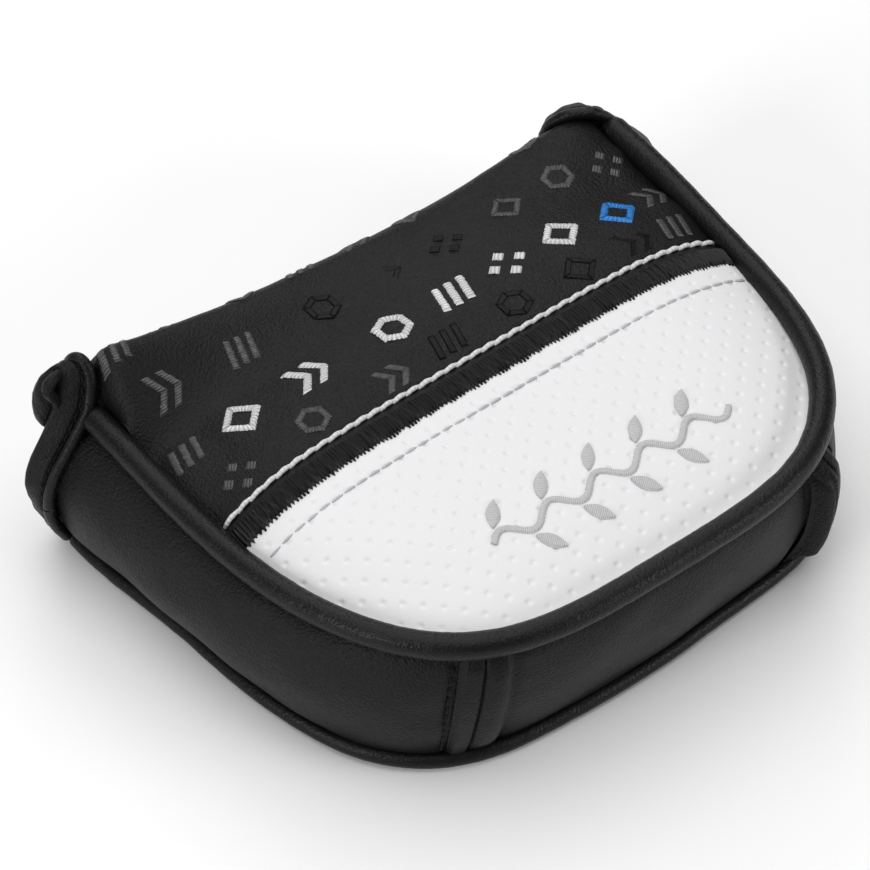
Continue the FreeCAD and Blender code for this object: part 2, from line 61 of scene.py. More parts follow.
# ---------- shape functions ----------
def smooth(t, a, b):
    s = np.clip((np.asarray(t, float) - a) / (b - a), 0.0, 1.0)
    return s * s * (3.0 - 2.0 * s)


def outline_table():
    a = np.linspace(0.0, math.pi, 4001)
    c, s = np.cos(a), np.sin(a)
    x = -np.sign(c) * HALF * np.abs(c) ** (2.0 / POWER)
    y = -DEPTH * np.abs(s) ** (2.0 / POWER)
    run = np.concatenate([[0.0], np.cumsum(np.hypot(np.diff(x), np.diff(y)))])
    return x, y, run


OX, OY, RUN = outline_table()
S_END = RUN[-1]
S_HALF = S_END / 2.0
PLEAT = 0.70 * S_HALF
PLEAT_HALF = 5.2


def outline(s):
    """Piping line at a run of s mm from the heel mouth, straight on behind both mouths."""
    s = np.asarray(s, float)
    x, y = np.interp(s, RUN, OX), np.interp(s, RUN, OY)
    y = np.where(s < 0.0, -s, np.where(s > S_END, s - S_END, y))
    return x, y


def plan(s, out):
    """Point of the plan at s, moved out square to the piping line."""
    x0, y0 = outline(s - 0.8)
    x1, y1 = outline(s + 0.8)
    d = np.hypot(x1 - x0, y1 - y0)
    x, y = outline(s)
    return x + out * (y1 - y0) / d, y - out * (x1 - x0) / d


def share(s):
    """0 at either mouth, 1 at the nose centre."""
    return np.clip(np.minimum(s, S_END - s) / S_HALF, 0.0, 1.0)


def toe_bump(s, a, b, c, d):
    """1 over a stretch of the toe side, given as shares from the nose centre to the toe mouth."""
    q = (np.asarray(s, float) - S_HALF) / S_HALF
    return smooth(q, a, b) * (1.0 - smooth(q, c, d))


def toe_tuck(s):
    """How far the toe side's seam is drawn in behind the toe corner."""
    return 0.9 * toe_bump(s, 0.2, 0.4, 0.7, 0.95)


def sole_offset(s):
    """How far the foot of the wall stands out from the piping line."""
    f = share(s)
    flare = 6.0 * (1.0 - smooth(f, 0.5, 0.86)) + 3.0 * (1.0 - smooth(f, 0.0, 0.25))
    return flare - 4.1 - 0.9 * toe_bump(s, 0.0, 0.12, 0.2, 0.4)


def piping_sag(s):
    return 1.6 * np.sin(math.pi * np.minimum(1.0, share(s) / 0.62)) ** 2


def wall_offset(s, z):
    """How far the wall's face stands out: bulged, and grooved right under the piping."""
    h = np.clip((WALL_TOP - z) / (WALL_TOP - WALL_BOTTOM), 0.0, 1.0)
    bulge = 2.6 + 4.8 * (1.0 - smooth(share(s), 0.1, 0.78)) - 1.3 * toe_bump(s, 0.34, 0.46, 0.85, 1.0)
    top = 0.2 - toe_tuck(s)
    groove = 0.9 * np.exp(-(h / 0.05) ** 2)
    return top + (sole_offset(s) - top) * h + bulge * np.sin(math.pi * h ** 0.9) ** 0.85 - groove


def pleat_lean(s, z):
    """The heel pleat stands a little askew: forward at the top, back toward the heel at the foot."""
    h = (WALL_TOP - z) / (WALL_TOP - WALL_BOTTOM)
    return 3.4 * (0.4 - h) * np.exp(-((s - PLEAT) / 10.0) ** 2)


def top_z(x, y):
    """Height of the padded top: a crown that falls to the piping, and a rear roll that rises at its ends."""
    x, yy = np.asarray(x, float), np.minimum(y, ROLL_Y)
    side = np.abs(x) / HALF
    rear = smooth(yy, -16.0, ROLL_Y)
    rho = (side ** POWER + np.abs(np.minimum(yy, 0.0) / DEPTH) ** POWER) ** (1.0 / POWER)
    z = CROWN - 7.5 * smooth(yy, -34.0, 12.0) - CROWN_DROP * (1.0 - 0.6 * rear) * rho ** CROWN_POWER
    z = z + EDGE_LIFT * smooth(side, 0.78, 0.97) * smooth(-yy, 1.0, 12.0) * (1.0 - smooth(-yy, 22.0, 36.0))
    heel_lean = 4.0 * (1.0 - (1.0 - np.minimum(1.0, -x / HALF)) ** 2)
    toe_lean = -1.2 * np.sin(math.pi * np.clip(x, 0.0, 50.0) / 50.0)
    lean = np.where(x < 0.0, heel_lean, toe_lean) + ROLL_LIFT * (1.0 - smooth(x, 0.0, 30.0))
    return z + rear * (lean + np.where(x < 0.0, HEEL_RISE, TOE_RISE) * side ** 3)


def sewn_edge(p):
    """Keep a panel's edge up where it is sewn into the piping."""
    low = -1.5 - piping_sag(np.interp(-p[..., 1], -OY[:2001], RUN[:2001]))
    p[..., 2] = low + 0.45 * np.logaddexp(0.0, (p[..., 2] - low) / 0.45)
    return p


def surf(x, y):
    """Outer face of the top. Past ROLL_Y, y is the distance round the rear roll; its ends round off."""
    x, y = np.broadcast_arrays(np.asarray(x, float), np.asarray(y, float))
    a = 0.5 * math.pi * np.clip((y - ROLL_Y) / ROLL_ARC, 0.0, 1.0)
    z0 = top_z(x, y)
    flap = y > ROLL_Y
    py = np.where(flap, ROLL_Y + (FLAP_Y - ROLL_Y) * np.sin(a), y)
    pz = np.where(flap, z0 + (HINGE_Z + 0.15 - z0) * (1.0 - np.cos(a)), z0)
    edge = np.clip((np.abs(x) - 56.6) / 5.6, 0.0, 1.0)
    shoulder = (1.0 - np.sqrt(1.0 - edge ** 2)) * smooth(y, -10.0, -3.0) * (1.0 - smooth(y, 6.0, 13.0))
    return np.stack([x, py, pz - shoulder * np.maximum(0.0, pz + 0.3)], -1)


def raised(x, y, lift):
    """Points of the top's outer face, moved out square to it by lift."""
    d = 0.3
    n = np.cross(surf(x + d, y) - surf(x - d, y), surf(x, y + d) - surf(x, y - d))
    n /= np.linalg.norm(n, axis=-1, keepdims=True)
    return surf(x, y) + n * np.asarray(lift)[..., None]


def flap_half(z):
    """Half width of the flap at height z, narrower at the hinge."""
    return HALF + wall_offset(np.zeros_like(z), z) - 1.4 - 2.0 * smooth(z, -16.0, HINGE_Z)


def flap_puff(across, z):
    """How far the flap's padding stands out; across runs from -1 to 1."""
    return 1.1 * np.cos(0.5 * math.pi * np.abs(across) ** 3) * np.sin(math.pi * (HINGE_Z - z) / 28.2) ** 0.7


def side_x(y, inset):
    """Half width of the plan at y, less an inset."""
    y = np.minimum(np.asarray(y, float), 0.0)
    return HALF * (1.0 - np.abs(y / DEPTH) ** POWER) ** (1.0 / POWER) - inset


def ripple(u, v, size, seed, count=9):
    """Smooth seeded unevenness with features about `size` across, from -1 to 1."""
    rng = np.random.default_rng(seed)
    out = np.zeros(np.broadcast(u, v).shape)
    for _ in range(count):
        a, p = rng.uniform(0, math.pi), rng.uniform(0, 2 * math.pi)
        k = 2 * math.pi / (size * rng.uniform(0.7, 1.5))
        out += np.sin(k * (u * math.cos(a) + v * math.sin(a)) + p)
    return out / count ** 0.5 / 1.5


# ---------- mesh builders, points in mm ----------
def to_row(p):
    """The same point in the frame's own coordinates, metres."""
    return (np.asarray(p, float) + np.array([0.0, SHIFT, HEIGHT])) / 1000.0


def add(name, verts, faces, uv=None, mat=None, body="shell", slot=None, replaces=()):
    """A mesh piece that rides on a body, with its material and the frame nodes that it replaces. The slot
    argument is not used.
    """
    me = bpy.data.meshes.new(name)
    me.from_pydata(to_row(verts).tolist(), [], faces)
    if uv is not None:
        layer = me.uv_layers.new(name="uv")
        idx = np.empty(len(me.loops), np.int32)
        me.loops.foreach_get("vertex_index", idx)
        layer.data.foreach_set("uv", np.asarray(uv, float)[idx].reshape(-1))
    me.polygons.foreach_set("use_smooth", [True] * len(me.polygons))
    me.update()
    ob = bpy.data.objects.new(name, me)
    bpy.context.scene.collection.objects.link(ob)
    if mat:
        me.materials.append(mat)
    if body:
        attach(ob, body)
    if replaces:
        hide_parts(*replaces)
    return ob


def quads(n, m, base=0, flip=False, wrap=False):
    """Faces of an n by m grid of vertices."""
    out = []
    for i in range(n - 1):
        for j in range(m if wrap else m - 1):
            a, b = base + i * m + j, base + i * m + (j + 1) % m
            c, d = b + m, a + m
            out.append((a, d, c, b) if flip else (a, b, c, d))
    return out


def normals(g):
    n = np.cross(np.gradient(g, axis=0), np.gradient(g, axis=1))
    return n / np.maximum(np.linalg.norm(n, axis=-1, keepdims=True), 1e-9)


def shell_data(g, thick, uv=None):
    """Closed shell: outer grid g, inner face `thick` behind it."""
    n, m = g.shape[:2]
    nrm = normals(g)
    inner = g - nrm * thick
    verts = np.concatenate([g.reshape(-1, 3), inner.reshape(-1, 3)])
    faces = quads(n, m) + quads(n, m, n * m, True)
    ring = [i * m for i in range(n)] + [(n - 1) * m + j for j in range(1, m)]
    ring += [i * m + m - 1 for i in range(n - 2, -1, -1)] + [j for j in range(m - 2, 0, -1)]
    k = n * m
    for a, b in zip(ring, ring[1:] + ring[:1]):
        faces.append((a, a + k, b + k, b))
    if uv is None:
        uu, vv = np.meshgrid(np.arange(n) / n, np.arange(m) / m, indexing="ij")
        uv = np.stack([uu, vv], -1)
    uv = np.concatenate([uv.reshape(-1, 2)] * 2)
    return verts, faces, uv


def shell(name, g, thick, uv=None, **kw):
    return add(name, *shell_data(g, thick, uv), **kw)


def slab_data(outer, inner):
    """Closed solid between two grids of the same size."""
    verts, faces, uv = shell_data(outer, 1.0)
    verts[len(verts) // 2:] = inner.reshape(-1, 3)
    return verts, faces, uv


def run_along(p):
    """Distance along a line of points."""
    return np.concatenate([[0.0], np.cumsum(np.linalg.norm(np.diff(p, axis=0), axis=1))])


def join(parts):
    """Several (verts, faces, uv) as one."""
    vs, fs, us, base = [], [], [], 0
    for v, f, u in parts:
        vs.append(v)
        us.append(u)
        fs += [tuple(i + base for i in q) for q in f]
        base += len(v)
    return np.concatenate(vs), fs, np.concatenate(us)


def add_parts(name, parts, mat, slot, replaces=(), body="shell"):
    return add(name, *join(parts), mat, body, slot, replaces)


def tube_data(path, radius, sides=20, side=(0, 0, 1)):
    """Round bar along path points with one radius per point, ends domed."""
    path = np.asarray(path, float)
    radius = np.broadcast_to(np.asarray(radius, float), (len(path),)).copy()
    d = np.gradient(path, axis=0)
    d /= np.linalg.norm(d, axis=1, keepdims=True)
    e = np.cross(d, np.asarray(side, float))
    e /= np.maximum(np.linalg.norm(e, axis=1, keepdims=True), 1e-9)
    f = np.cross(e, d)
    w = np.linspace(0, 2 * math.pi, sides, endpoint=False)
    ca, sa = np.cos(w)[None, :, None], np.sin(w)[None, :, None]
    r = radius[:, None, None]
    rings = path[:, None, :] + (e[:, None, :] * ca + f[:, None, :] * sa) * r
    caps = []
    for end, sign in ((0, -1.0), (-1, 1.0)):
        for k in ((0.55, 0.83), (0.9, 0.42)) if end else ((0.9, 0.42), (0.55, 0.83)):
            caps.append(path[end] + d[end] * sign * radius[end] * k[0] + (rings[end] - path[end]) * k[1])
    rings = np.concatenate([[caps[0]], [caps[1]], rings, [caps[2]], [caps[3]]])
    n = len(rings)
    faces = quads(n, sides, wrap=True, flip=True)
    faces.append(tuple(range(sides)))
    faces.append(tuple((n - 1) * sides + i for i in range(sides - 1, -1, -1)))
    run = run_along(rings.mean(1)) / 10.0
    uu, vv = np.meshgrid(run, np.arange(sides) / sides, indexing="ij")
    return rings.reshape(-1, 3), faces, np.stack([uu, vv], -1).reshape(-1, 2)


def curve_through(points, count):
    """Smooth line through a few points (Catmull-Rom, even spacing)."""
    p = np.asarray(points, float)
    p = np.concatenate([[2 * p[0] - p[1]], p, [2 * p[-1] - p[-2]]])
    out = []
    for i in range(1, len(p) - 2):
        t = np.linspace(0, 1, 24, endpoint=False)[:, None]
        a, b, c, d = p[i - 1], p[i], p[i + 1], p[i + 2]
        out.append(0.5 * (2 * b + (c - a) * t + (2 * a - 5 * b + 4 * c - d) * t ** 2
                          + (3 * b - a - 3 * c + d) * t ** 3))
    out = np.concatenate(out + [p[-2][None]])
    run = run_along(out)
    at = np.linspace(0, run[-1], count)
    return np.stack([np.interp(at, run, out[:, k]) for k in range(3)], -1)


# ---------- materials ----------
def new_mat(name, color, rough, **sockets):
    m = bpy.data.materials.new(name)
    m.use_nodes = True
    nt = m.node_tree
    b = nt.nodes["Principled BSDF"]
    b.inputs["Base Color"].default_value = (*color, 1.0)
    b.inputs["Roughness"].default_value = rough
    for k, v in sockets.items():
        b.inputs[k.replace("_", " ")].default_value = v
    return m, nt, b


def node(nt, kind, inputs=None, **props):
    n = nt.nodes.new(kind)
    for k, v in props.items():
        setattr(n, k, v)
    for k, v in (inputs or {}).items():
        if isinstance(v, bpy.types.NodeSocket):
            nt.links.new(v, n.inputs[k])
        else:
            n.inputs[k].default_value = v
    return n


def calc(nt, op, a, b=0.0, c=0.0):
    return node(nt, "ShaderNodeMath", {0: a, 1: b, 2: c}, operation=op).outputs[0]


def where(nt):
    return node(nt, "ShaderNodeTexCoord").outputs["Object"]


def blend_color(nt, fac, a, b):
    n = node(nt, "ShaderNodeMix", data_type="RGBA")
    nt.links.new(fac, n.inputs["Factor"])
    for key, v in (("A", a), ("B", b)):
        s = [i for i in n.inputs if i.name == key and i.type == "RGBA"][0]
        if isinstance(v, bpy.types.NodeSocket):
            nt.links.new(v, s)
        else:
            s.default_value = (*v, 1.0)
    return [o for o in n.outputs if o.type == "RGBA"][0]


def leather(name, color, rough=0.46, grain=0.55, deep=0.22, tint=1.35, **sockets):
    """Pebbled synthetic leather: grain cells `grain` mm across over slow unevenness."""
    m, nt, b = new_mat(name, color, rough, **sockets)
    p = where(nt)
    warp = node(nt, "ShaderNodeTexNoise", {"Vector": p, "Scale": 900.0, "Detail": 2.0})
    shift = node(nt, "ShaderNodeVectorMath", {0: warp.outputs["Color"], 1: (0.0006, 0.0006, 0.0006)},
                 operation="MULTIPLY").outputs[0]
    q = node(nt, "ShaderNodeVectorMath", {0: p, 1: shift}, operation="ADD").outputs[0]
    cells = node(nt, "ShaderNodeTexVoronoi", {"Vector": q, "Scale": 1000.0 / grain}, feature="SMOOTH_F1")
    fine = node(nt, "ShaderNodeTexNoise", {"Vector": p, "Scale": 3600.0, "Detail": 3.0})
    slow = node(nt, "ShaderNodeTexNoise", {"Vector": p, "Scale": 95.0, "Detail": 3.0})
    h = calc(nt, "MULTIPLY_ADD", cells.outputs["Distance"], -0.8, calc(nt, "MULTIPLY", fine.outputs[0], 0.35))
    h = calc(nt, "MULTIPLY_ADD", slow.outputs[0], 0.8, h)
    bump = node(nt, "ShaderNodeBump", {"Strength": deep, "Distance": 0.0003, "Height": h})
    nt.links.new(bump.outputs[0], b.inputs["Normal"])
    nt.links.new(blend_color(nt, slow.outputs[0], color, tuple(min(1.0, c * tint) for c in color)),
                 b.inputs["Base Color"])
    r = calc(nt, "MULTIPLY_ADD", cells.outputs["Distance"], 0.16, rough - 0.06)
    r = calc(nt, "MULTIPLY_ADD", slow.outputs[0], 0.10, r)
    nt.links.new(r, b.inputs["Roughness"])
    return m


def thread(name, color, rough=0.42, pitch=0.38, dark=0.62, strength=0.55, **sockets):
    """Lustrous thread laid side by side, running across the piece; uv is in centimetres. Its colour carries
    painted shade: `dark` darkens the troughs between the ridges, over streaky tone along the thread.
    """
    m, nt, b = new_mat(name, color, rough, **sockets)
    uv = node(nt, "ShaderNodeUVMap", uv_map="uv").outputs[0]
    parts = node(nt, "ShaderNodeSeparateXYZ", {0: uv})
    u, v = parts.outputs[0], parts.outputs[1]
    jit = node(nt, "ShaderNodeTexNoise", {"Vector": uv, "Scale": 3.0, "Detail": 2.0}).outputs[0]
    turn = calc(nt, "MULTIPLY_ADD", jit, 2.2, calc(nt, "MULTIPLY", u, 2 * math.pi * 10.0 / pitch))
    wave = calc(nt, "MULTIPLY_ADD", calc(nt, "SINE", turn), 0.5, 0.5)
    long = node(nt, "ShaderNodeCombineXYZ",
                {0: calc(nt, "MULTIPLY", u, 60.0), 1: calc(nt, "MULTIPLY", v, 5.0)}).outputs[0]
    streak = node(nt, "ShaderNodeTexNoise", {"Vector": long, "Scale": 1.0, "Detail": 2.0}).outputs[0]
    h = calc(nt, "MULTIPLY_ADD", streak, 0.35, wave)
    bump = node(nt, "ShaderNodeBump", {"Strength": strength, "Distance": 0.00012, "Height": h})
    nt.links.new(bump.outputs[0], b.inputs["Normal"])
    # Painted shade: the base colour darkens in the troughs between the thread ridges (the same wave as the
    # bump), scaled by the streaks' own uneven tone
    ridge_shade_and_streaks = calc(nt, "MULTIPLY", calc(nt, "POWER", wave, 0.5), calc(nt, "MULTIPLY_ADD", streak, 0.5, 0.6))
    nt.links.new(blend_color(nt, ridge_shade_and_streaks, tuple(c * dark for c in color), color), b.inputs["Base Color"])
    return m


def cloth(name, color, size=0.9):
    """Brushed knit: short pile over fine ribs."""
    m, nt, b = new_mat(name, color, 0.92, Sheen_Weight=0.35, Sheen_Roughness=0.5)
    p = where(nt)
    ribs = node(nt, "ShaderNodeTexVoronoi", {"Vector": p, "Scale": 1000.0 / size}, feature="F1")
    pile = node(nt, "ShaderNodeTexNoise", {"Vector": p, "Scale": 2400.0, "Detail": 4.0})
    h = calc(nt, "MULTIPLY_ADD", ribs.outputs["Distance"], -0.6, pile.outputs[0])
    bump = node(nt, "ShaderNodeBump", {"Strength": 0.6, "Distance": 0.0003, "Height": h})
    nt.links.new(bump.outputs[0], b.inputs["Normal"])
    nt.links.new(blend_color(nt, pile.outputs[0], color, tuple(min(1.0, c * 1.7) for c in color)),
                 b.inputs["Base Color"])
    return m


def metal(name, color, rough):
    m, nt, b = new_mat(name, color, rough, Metallic=1.0)
    fine = node(nt, "ShaderNodeTexNoise", {"Vector": where(nt), "Scale": 2600.0, "Detail": 3.0})
    bump = node(nt, "ShaderNodeBump", {"Strength": 0.08, "Distance": 0.0001, "Height": fine.outputs[0]})
    nt.links.new(bump.outputs[0], b.inputs["Normal"])
    nt.links.new(calc(nt, "MULTIPLY_ADD", fine.outputs[0], 0.2, rough - 0.1), b.inputs["Roughness"])
    return m


BLACK = leather("black_leather", (0.0060, 0.0056, 0.0062), rough=0.40, grain=0.48, deep=0.85,
                Specular_IOR_Level=0.17)
CORDED = leather("black_piping", (0.0052, 0.0049, 0.0052), rough=0.30, grain=0.42, deep=0.5,
                 Specular_IOR_Level=0.2)
WHITE = leather("white_leather", (0.74, 0.74, 0.75), rough=0.50, grain=0.40, deep=0.10, tint=1.02)
FILM = leather("pressed_marks", (0.0030, 0.0028, 0.0030), rough=0.34, deep=0.12, Specular_IOR_Level=0.1)
BAND_PITCH, SATIN_PITCH = 0.74, 0.76   # thread ridges of the band and the motifs, mm
# dark: how far the painted shade darkens each thread's colour between its ridges
BLACK_THREAD = thread("black_thread", (0.0050, 0.0050, 0.0054), rough=0.52, pitch=0.42, dark=0.3,
                      strength=1.0, Specular_IOR_Level=0.16)
BAND_THREAD = thread("band_thread", (0.014, 0.014, 0.015), rough=0.42, pitch=BAND_PITCH, dark=0.05,
                     strength=1.0, Specular_IOR_Level=0.25)
ROPE_WHITE = thread("white_topstitch", (0.74, 0.74, 0.73), rough=0.5, pitch=0.9, dark=0.7)
WHITE_THREAD = thread("white_thread", (0.78, 0.78, 0.79), rough=0.45, pitch=SATIN_PITCH, dark=0.45,
                      strength=0.9)
BLUE_THREAD = thread("blue_thread", (0.012, 0.27, 0.80), rough=0.38, pitch=SATIN_PITCH, dark=0.3,
                     strength=0.9)
GREY_THREAD = thread("grey_thread", (0.60, 0.60, 0.61), rough=0.40, pitch=0.40, dark=0.66)
TONAL_THREAD = thread("tonal_thread", (0.085, 0.085, 0.09), rough=0.34, pitch=0.55, dark=0.15, strength=0.9)
LINING = cloth("lining_knit", (0.02, 0.02, 0.023))
STIFF = cloth("stiffener", (0.05, 0.05, 0.05), size=1.6)
PLATE = metal("plated_disc", (0.62, 0.62, 0.64), 0.25)
STEEL = metal("steel_disc", (0.45, 0.45, 0.46), 0.38)


# ---------- padded top ----------
def puckered(x, y, seed, amount):
    """The top with slow unevenness, none beside the joint, and the pull of the topstitch."""
    dz = amount * (ripple(x, y, 22.0, seed) + 0.4 * ripple(x, y, 8.0, seed + 1))
    dz = dz * smooth(np.abs(y - JOINT_Y), 2.6, 8.0)
    pull = np.exp(-((y - TOPSTITCH_Y) / 0.7) ** 2)
    return raised(x, y, dz - pull * (0.35 + 0.12 * np.cos(2 * math.pi * x / 3.1)))


def rear_leather():
    """Black panel of the top, its rolled rear edge and the outer face of the flap, in one hide."""
    flat = np.linspace(SEAM_Y - 1.6, ROLL_Y, 100)[:-1]
    roll = np.linspace(ROLL_Y, ROLL_Y + ROLL_ARC, 30)
    u = np.sin(np.linspace(-0.5 * math.pi, 0.5 * math.pi, 301))
    y = np.concatenate([flat, roll])
    yy, uu = np.meshgrid(y, u, indexing="ij")
    wide = 62.2 + 4.2 * smooth(yy, ROLL_Y + 4.0, ROLL_Y + ROLL_ARC)
    x = uu * np.where(yy < ROLL_Y, side_x(yy, PIPING_R - 0.3) - 0.4 * smooth(yy, -9.0, 2.0), wide)
    p = puckered(x, yy, 3, 0.16)
    p = np.where((yy < -3.0)[..., None], sewn_edge(p.copy()), p)
    z = np.linspace(HINGE_Z - 0.4, GROUND + 1.3, 58)
    zz, uf = np.meshgrid(z, u, indexing="ij")
    xf = uf * flap_half(zz)
    puff = flap_puff(uf, zz) + 0.14 * ripple(xf, zz, 20.0, 9) * smooth(HINGE_Z - zz, 0.0, 4.0)
    pf = np.stack([xf, FLAP_Y + puff, zz], -1)
    g = np.concatenate([p, pf])
    ob = shell("rear_leather", g[:, ::-1], LEATHER, mat=BLACK, body=None, slot="black_leather",
               replaces=("top_panel", "flap_panel"))
    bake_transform(ob)


rear_leather()


def nose_grid(cols, rows, inset, rear_y, base=False):
    """Grid over the plan in front of rear_y, from that line out to the edge, at the sole if base."""
    def edge(s):
        return plan(s, -inset + (sole_offset(s) if base else 0.0))
    s = np.linspace(0.0, S_END, 4000)
    s = s[(edge(s)[1] < rear_y) & (s > 0) & (s < S_END)]
    bx, by = edge(np.linspace(s[0], s[-1], cols))
    u = np.linspace(-1.0, 1.0, cols)
    half = abs(bx[0])
    ax, ay = u * half, np.full(cols, rear_y)
    t = np.linspace(0.0, 1.0, rows)[:, None]
    return ax + (bx - ax) * t, ay + (by - ay) * t, t * np.ones_like(u)[None, :]


def dimples(x, y, pitch, r):
    """Height mask of small round dimples in a staggered grid."""
    row = np.round(y / (pitch / 2))
    off = (np.abs(row) % 2) * pitch / 2
    cx = np.round((x - off) / pitch) * pitch + off
    d = np.hypot(x - cx, y - row * pitch / 2)
    return np.exp(-(d / r) ** 2)


def nose_leather():
    """Light panel: dimpled in front of the band, with a shallow channel under its running stitch."""
    x, y, _ = nose_grid(620, 230, PIPING_R - 0.4, SEAM_Y - 1.8)
    dz = 0.12 * ripple(x, y, 26.0, 5) * smooth(-y, 44.0, 50.0)
    dz -= 0.36 * dimples(x, y, 5.5, 0.50) * smooth(-y, 44.5, 45.5)
    dz -= 0.25 * smooth(y, -42.0, -40.5)
    dz -= 0.16 * np.exp(-((y - DASH_Y) / 0.6) ** 2)
    shell("nose_leather", sewn_edge(raised(x, y, dz)), LEATHER, mat=WHITE, slot="white_leather",
          replaces=("perforated_panel",))


def satin_band():
    """Satin-stitched band over the joint, its front edge in uneven points over the light panel."""
    x = np.linspace(-1.0, 1.0, 2000) * side_x(-41.5, PIPING_R + 0.4)
    saw = np.abs(((x / 0.86 + 0.25 * ripple(x, 0.0, 3.0, 23)) % 1.0) - 0.5) * 2.0
    reach = np.interp(x, np.linspace(-64, 64, 150), np.random.default_rng(11).uniform(0.4, 1.0, 150))
    front = BAND_Y + 0.35 - 1.25 * saw ** 1.3 * reach
    rear = SEAM_Y - 0.35 + 0.10 * np.sin(2 * math.pi * x / 0.8)
    v = np.linspace(0.0, 1.0, 17)[:, None]
    x, y = x + 0.3 * v, rear + (front - rear) * v
    ridge = 0.26 * np.abs(np.sin(math.pi * x / BAND_PITCH)) + 0.13 * ripple(x, y * 0.3, 0.9, 21)
    lift = 0.50 * (1.0 - np.abs(2 * v - 1) ** 5) + ridge
    shell("satin_band_threads", raised(x, y, lift), 0.4, uv=np.stack([x / 10.0, y / 10.0], -1),
          mat=BAND_THREAD, slot="black_thread", replaces=("satin_band",))


nose_leather()
satin_band()


def stitch_row(y_line, pitch, length, r, arch, inset, seed, lean=0.0, bead=0.0):
    """Separate arched stitches across the top at y_line, their ends sunk in the leather."""
    rnd = np.random.default_rng(seed)
    half = float(side_x(y_line, inset))
    count = int(2 * half / pitch)
    parts = []
    for i in range(count):
        c = -half + (i + 0.5) * 2 * half / count
        k = np.linspace(-0.5, 0.5, 9)
        px = c + k * length * rnd.uniform(0.94, 1.04)
        py = y_line + lean * k + rnd.uniform(-0.06, 0.06)
        path = raised(px, py, arch * np.cos(math.pi * k) - 0.12)
        rad = r * (0.82 + 0.18 * np.cos(math.pi * k)) * rnd.uniform(0.95, 1.05)
        rad = rad * (1.0 + bead * np.sin(2 * math.pi * k * 2.5))
        parts.append(tube_data(path, rad, 10))
    return parts


add_parts("joint_topstitch", stitch_row(TOPSTITCH_Y, 3.05, 3.25, 0.50, 0.42, PIPING_R + 0.9, 4, 0.28, 0.06),
          ROPE_WHITE, "white_thread", ("seam_topstitch",))
add_parts("panel_topstitches", stitch_row(DASH_Y, 2.9, 2.15, 0.26, 0.20, PIPING_R + 1.5, 6),
          GREY_THREAD, "grey_thread", ("panel_topstitch",))


# ---------- needlework motifs ----------
def bar(x0, y0, x1, y1, w):
    """Corners of a straight stroke."""
    d = math.hypot(x1 - x0, y1 - y0)
    nx, ny = -(y1 - y0) / d * w / 2, (x1 - x0) / d * w / 2
    return [(x0 - nx, y0 - ny), (x1 - nx, y1 - ny), (x1 + nx, y1 + ny), (x0 + nx, y0 + ny)]


def ring(sides, r, w, turn):
    """Strokes of a hollow regular shape, turned by a part of one side."""
    out = []
    for i in range(sides):
        a, b = [2 * math.pi * (i + j + turn) / sides for j in (0.004, 0.996)]
        out.append([(r * math.cos(a), r * math.sin(a)), (r * math.cos(b), r * math.sin(b)),
                    ((r - w) * math.cos(b), (r - w) * math.sin(b)),
                    ((r - w) * math.cos(a), (r - w) * math.sin(a))])
    return out


def chevrons(w):
    out, wide = [], w * 1.3
    for cx in (-3.4, 0.6):
        for k in (-1, 1):
            tip, tail = k * 0.04, k * 3.7
            out.append([(cx, tail), (cx + 2.8, tip), (cx + 2.8 + wide, tip), (cx + wide, tail)])
    return out


def slats(w):
    return [bar(cx - 1.1, -3.6, cx + 1.1, 3.6, w) for cx in (-3.0, 0.0, 3.0)]


def cluster(w):
    return [[(cx - w, cy), (cx, cy - w), (cx + w, cy), (cx, cy + w)]
            for cx, cy in ((-3.2, 0.0), (3.2, 0.0), (0.0, 2.9), (0.0, -2.9))]


# Square, chevrons, hexagon, slats, cluster, by their number in the rows below
SHAPES = [ring(4, 4.6, 1.9, 0.0), chevrons(1.5), ring(6, 4.3, 1.7, 0.5), slats(1.6), cluster(1.5)]


def strokes(kind, cx, cy, size):
    """The strokes of one shape, each as four plan corners."""
    shape = SHAPES[kind % len(SHAPES)]
    return [np.array([(cx + size * px, cy + size * py) for px, py in quad]) for quad in shape]


def facing_out(c):
    """Whether a stroke's corners run so that its grid faces out of the top."""
    return (c[1][0] - c[0][0]) * (c[3][1] - c[0][1]) - (c[1][1] - c[0][1]) * (c[3][0] - c[0][0]) >= 0


def patch(c, height, seed):
    """One satin-stitched stroke over four plan corners: rounded, ridged thread by thread, uneven edges."""
    length = 0.5 * (np.linalg.norm(c[1] - c[0]) + np.linalg.norm(c[2] - c[3]))
    na = max(12, int(length / 0.10))
    rnd = np.random.default_rng(seed)
    a = np.linspace(0, 1, na)[:, None]
    jag = rnd.uniform(-1, 1, (na, 2)) * 0.16
    b = np.linspace(0, 1, 11)[None, :]
    lo, hi = c[0] + (c[1] - c[0]) * a, c[3] + (c[2] - c[3]) * a
    across = hi - lo
    wide = np.maximum(np.linalg.norm(across, axis=1, keepdims=True), 1e-6)
    lo, hi = lo - across / wide * jag[:, :1], hi + across / wide * jag[:, 1:]
    q = lo[:, None, :] + (hi - lo)[:, None, :] * b[..., None]
    ends = 1.0 - np.abs(2 * a - 1) ** 24
    prof = (1.0 - np.abs(2 * b - 1) ** 4) * ends
    phase = rnd.uniform(0, 6)
    ridges = 0.5 + 0.5 * np.abs(np.sin(math.pi * a * length / SATIN_PITCH + phase))
    lift = height * prof * (0.5 + 0.5 * ridges) + 0.03
    s = raised(q[..., 0], q[..., 1], lift)
    uv = np.stack(np.broadcast_arrays(a * length / 10.0, b * wide[:, :1] / 10.0), -1)
    if not facing_out(c):
        s, uv = s[:, ::-1], uv[:, ::-1]
    return shell_data(s, 0.12 + height * 0.5, uv)


def motifs(name, places, size, height, mat, slot, replaces):
    parts = [patch(c, height, (i + 3) * 31 + j) for i, (cx, cy, kind) in enumerate(places)
             for j, c in enumerate(strokes(kind, cx, cy, size))]
    add_parts(name, parts, mat, slot, replaces)


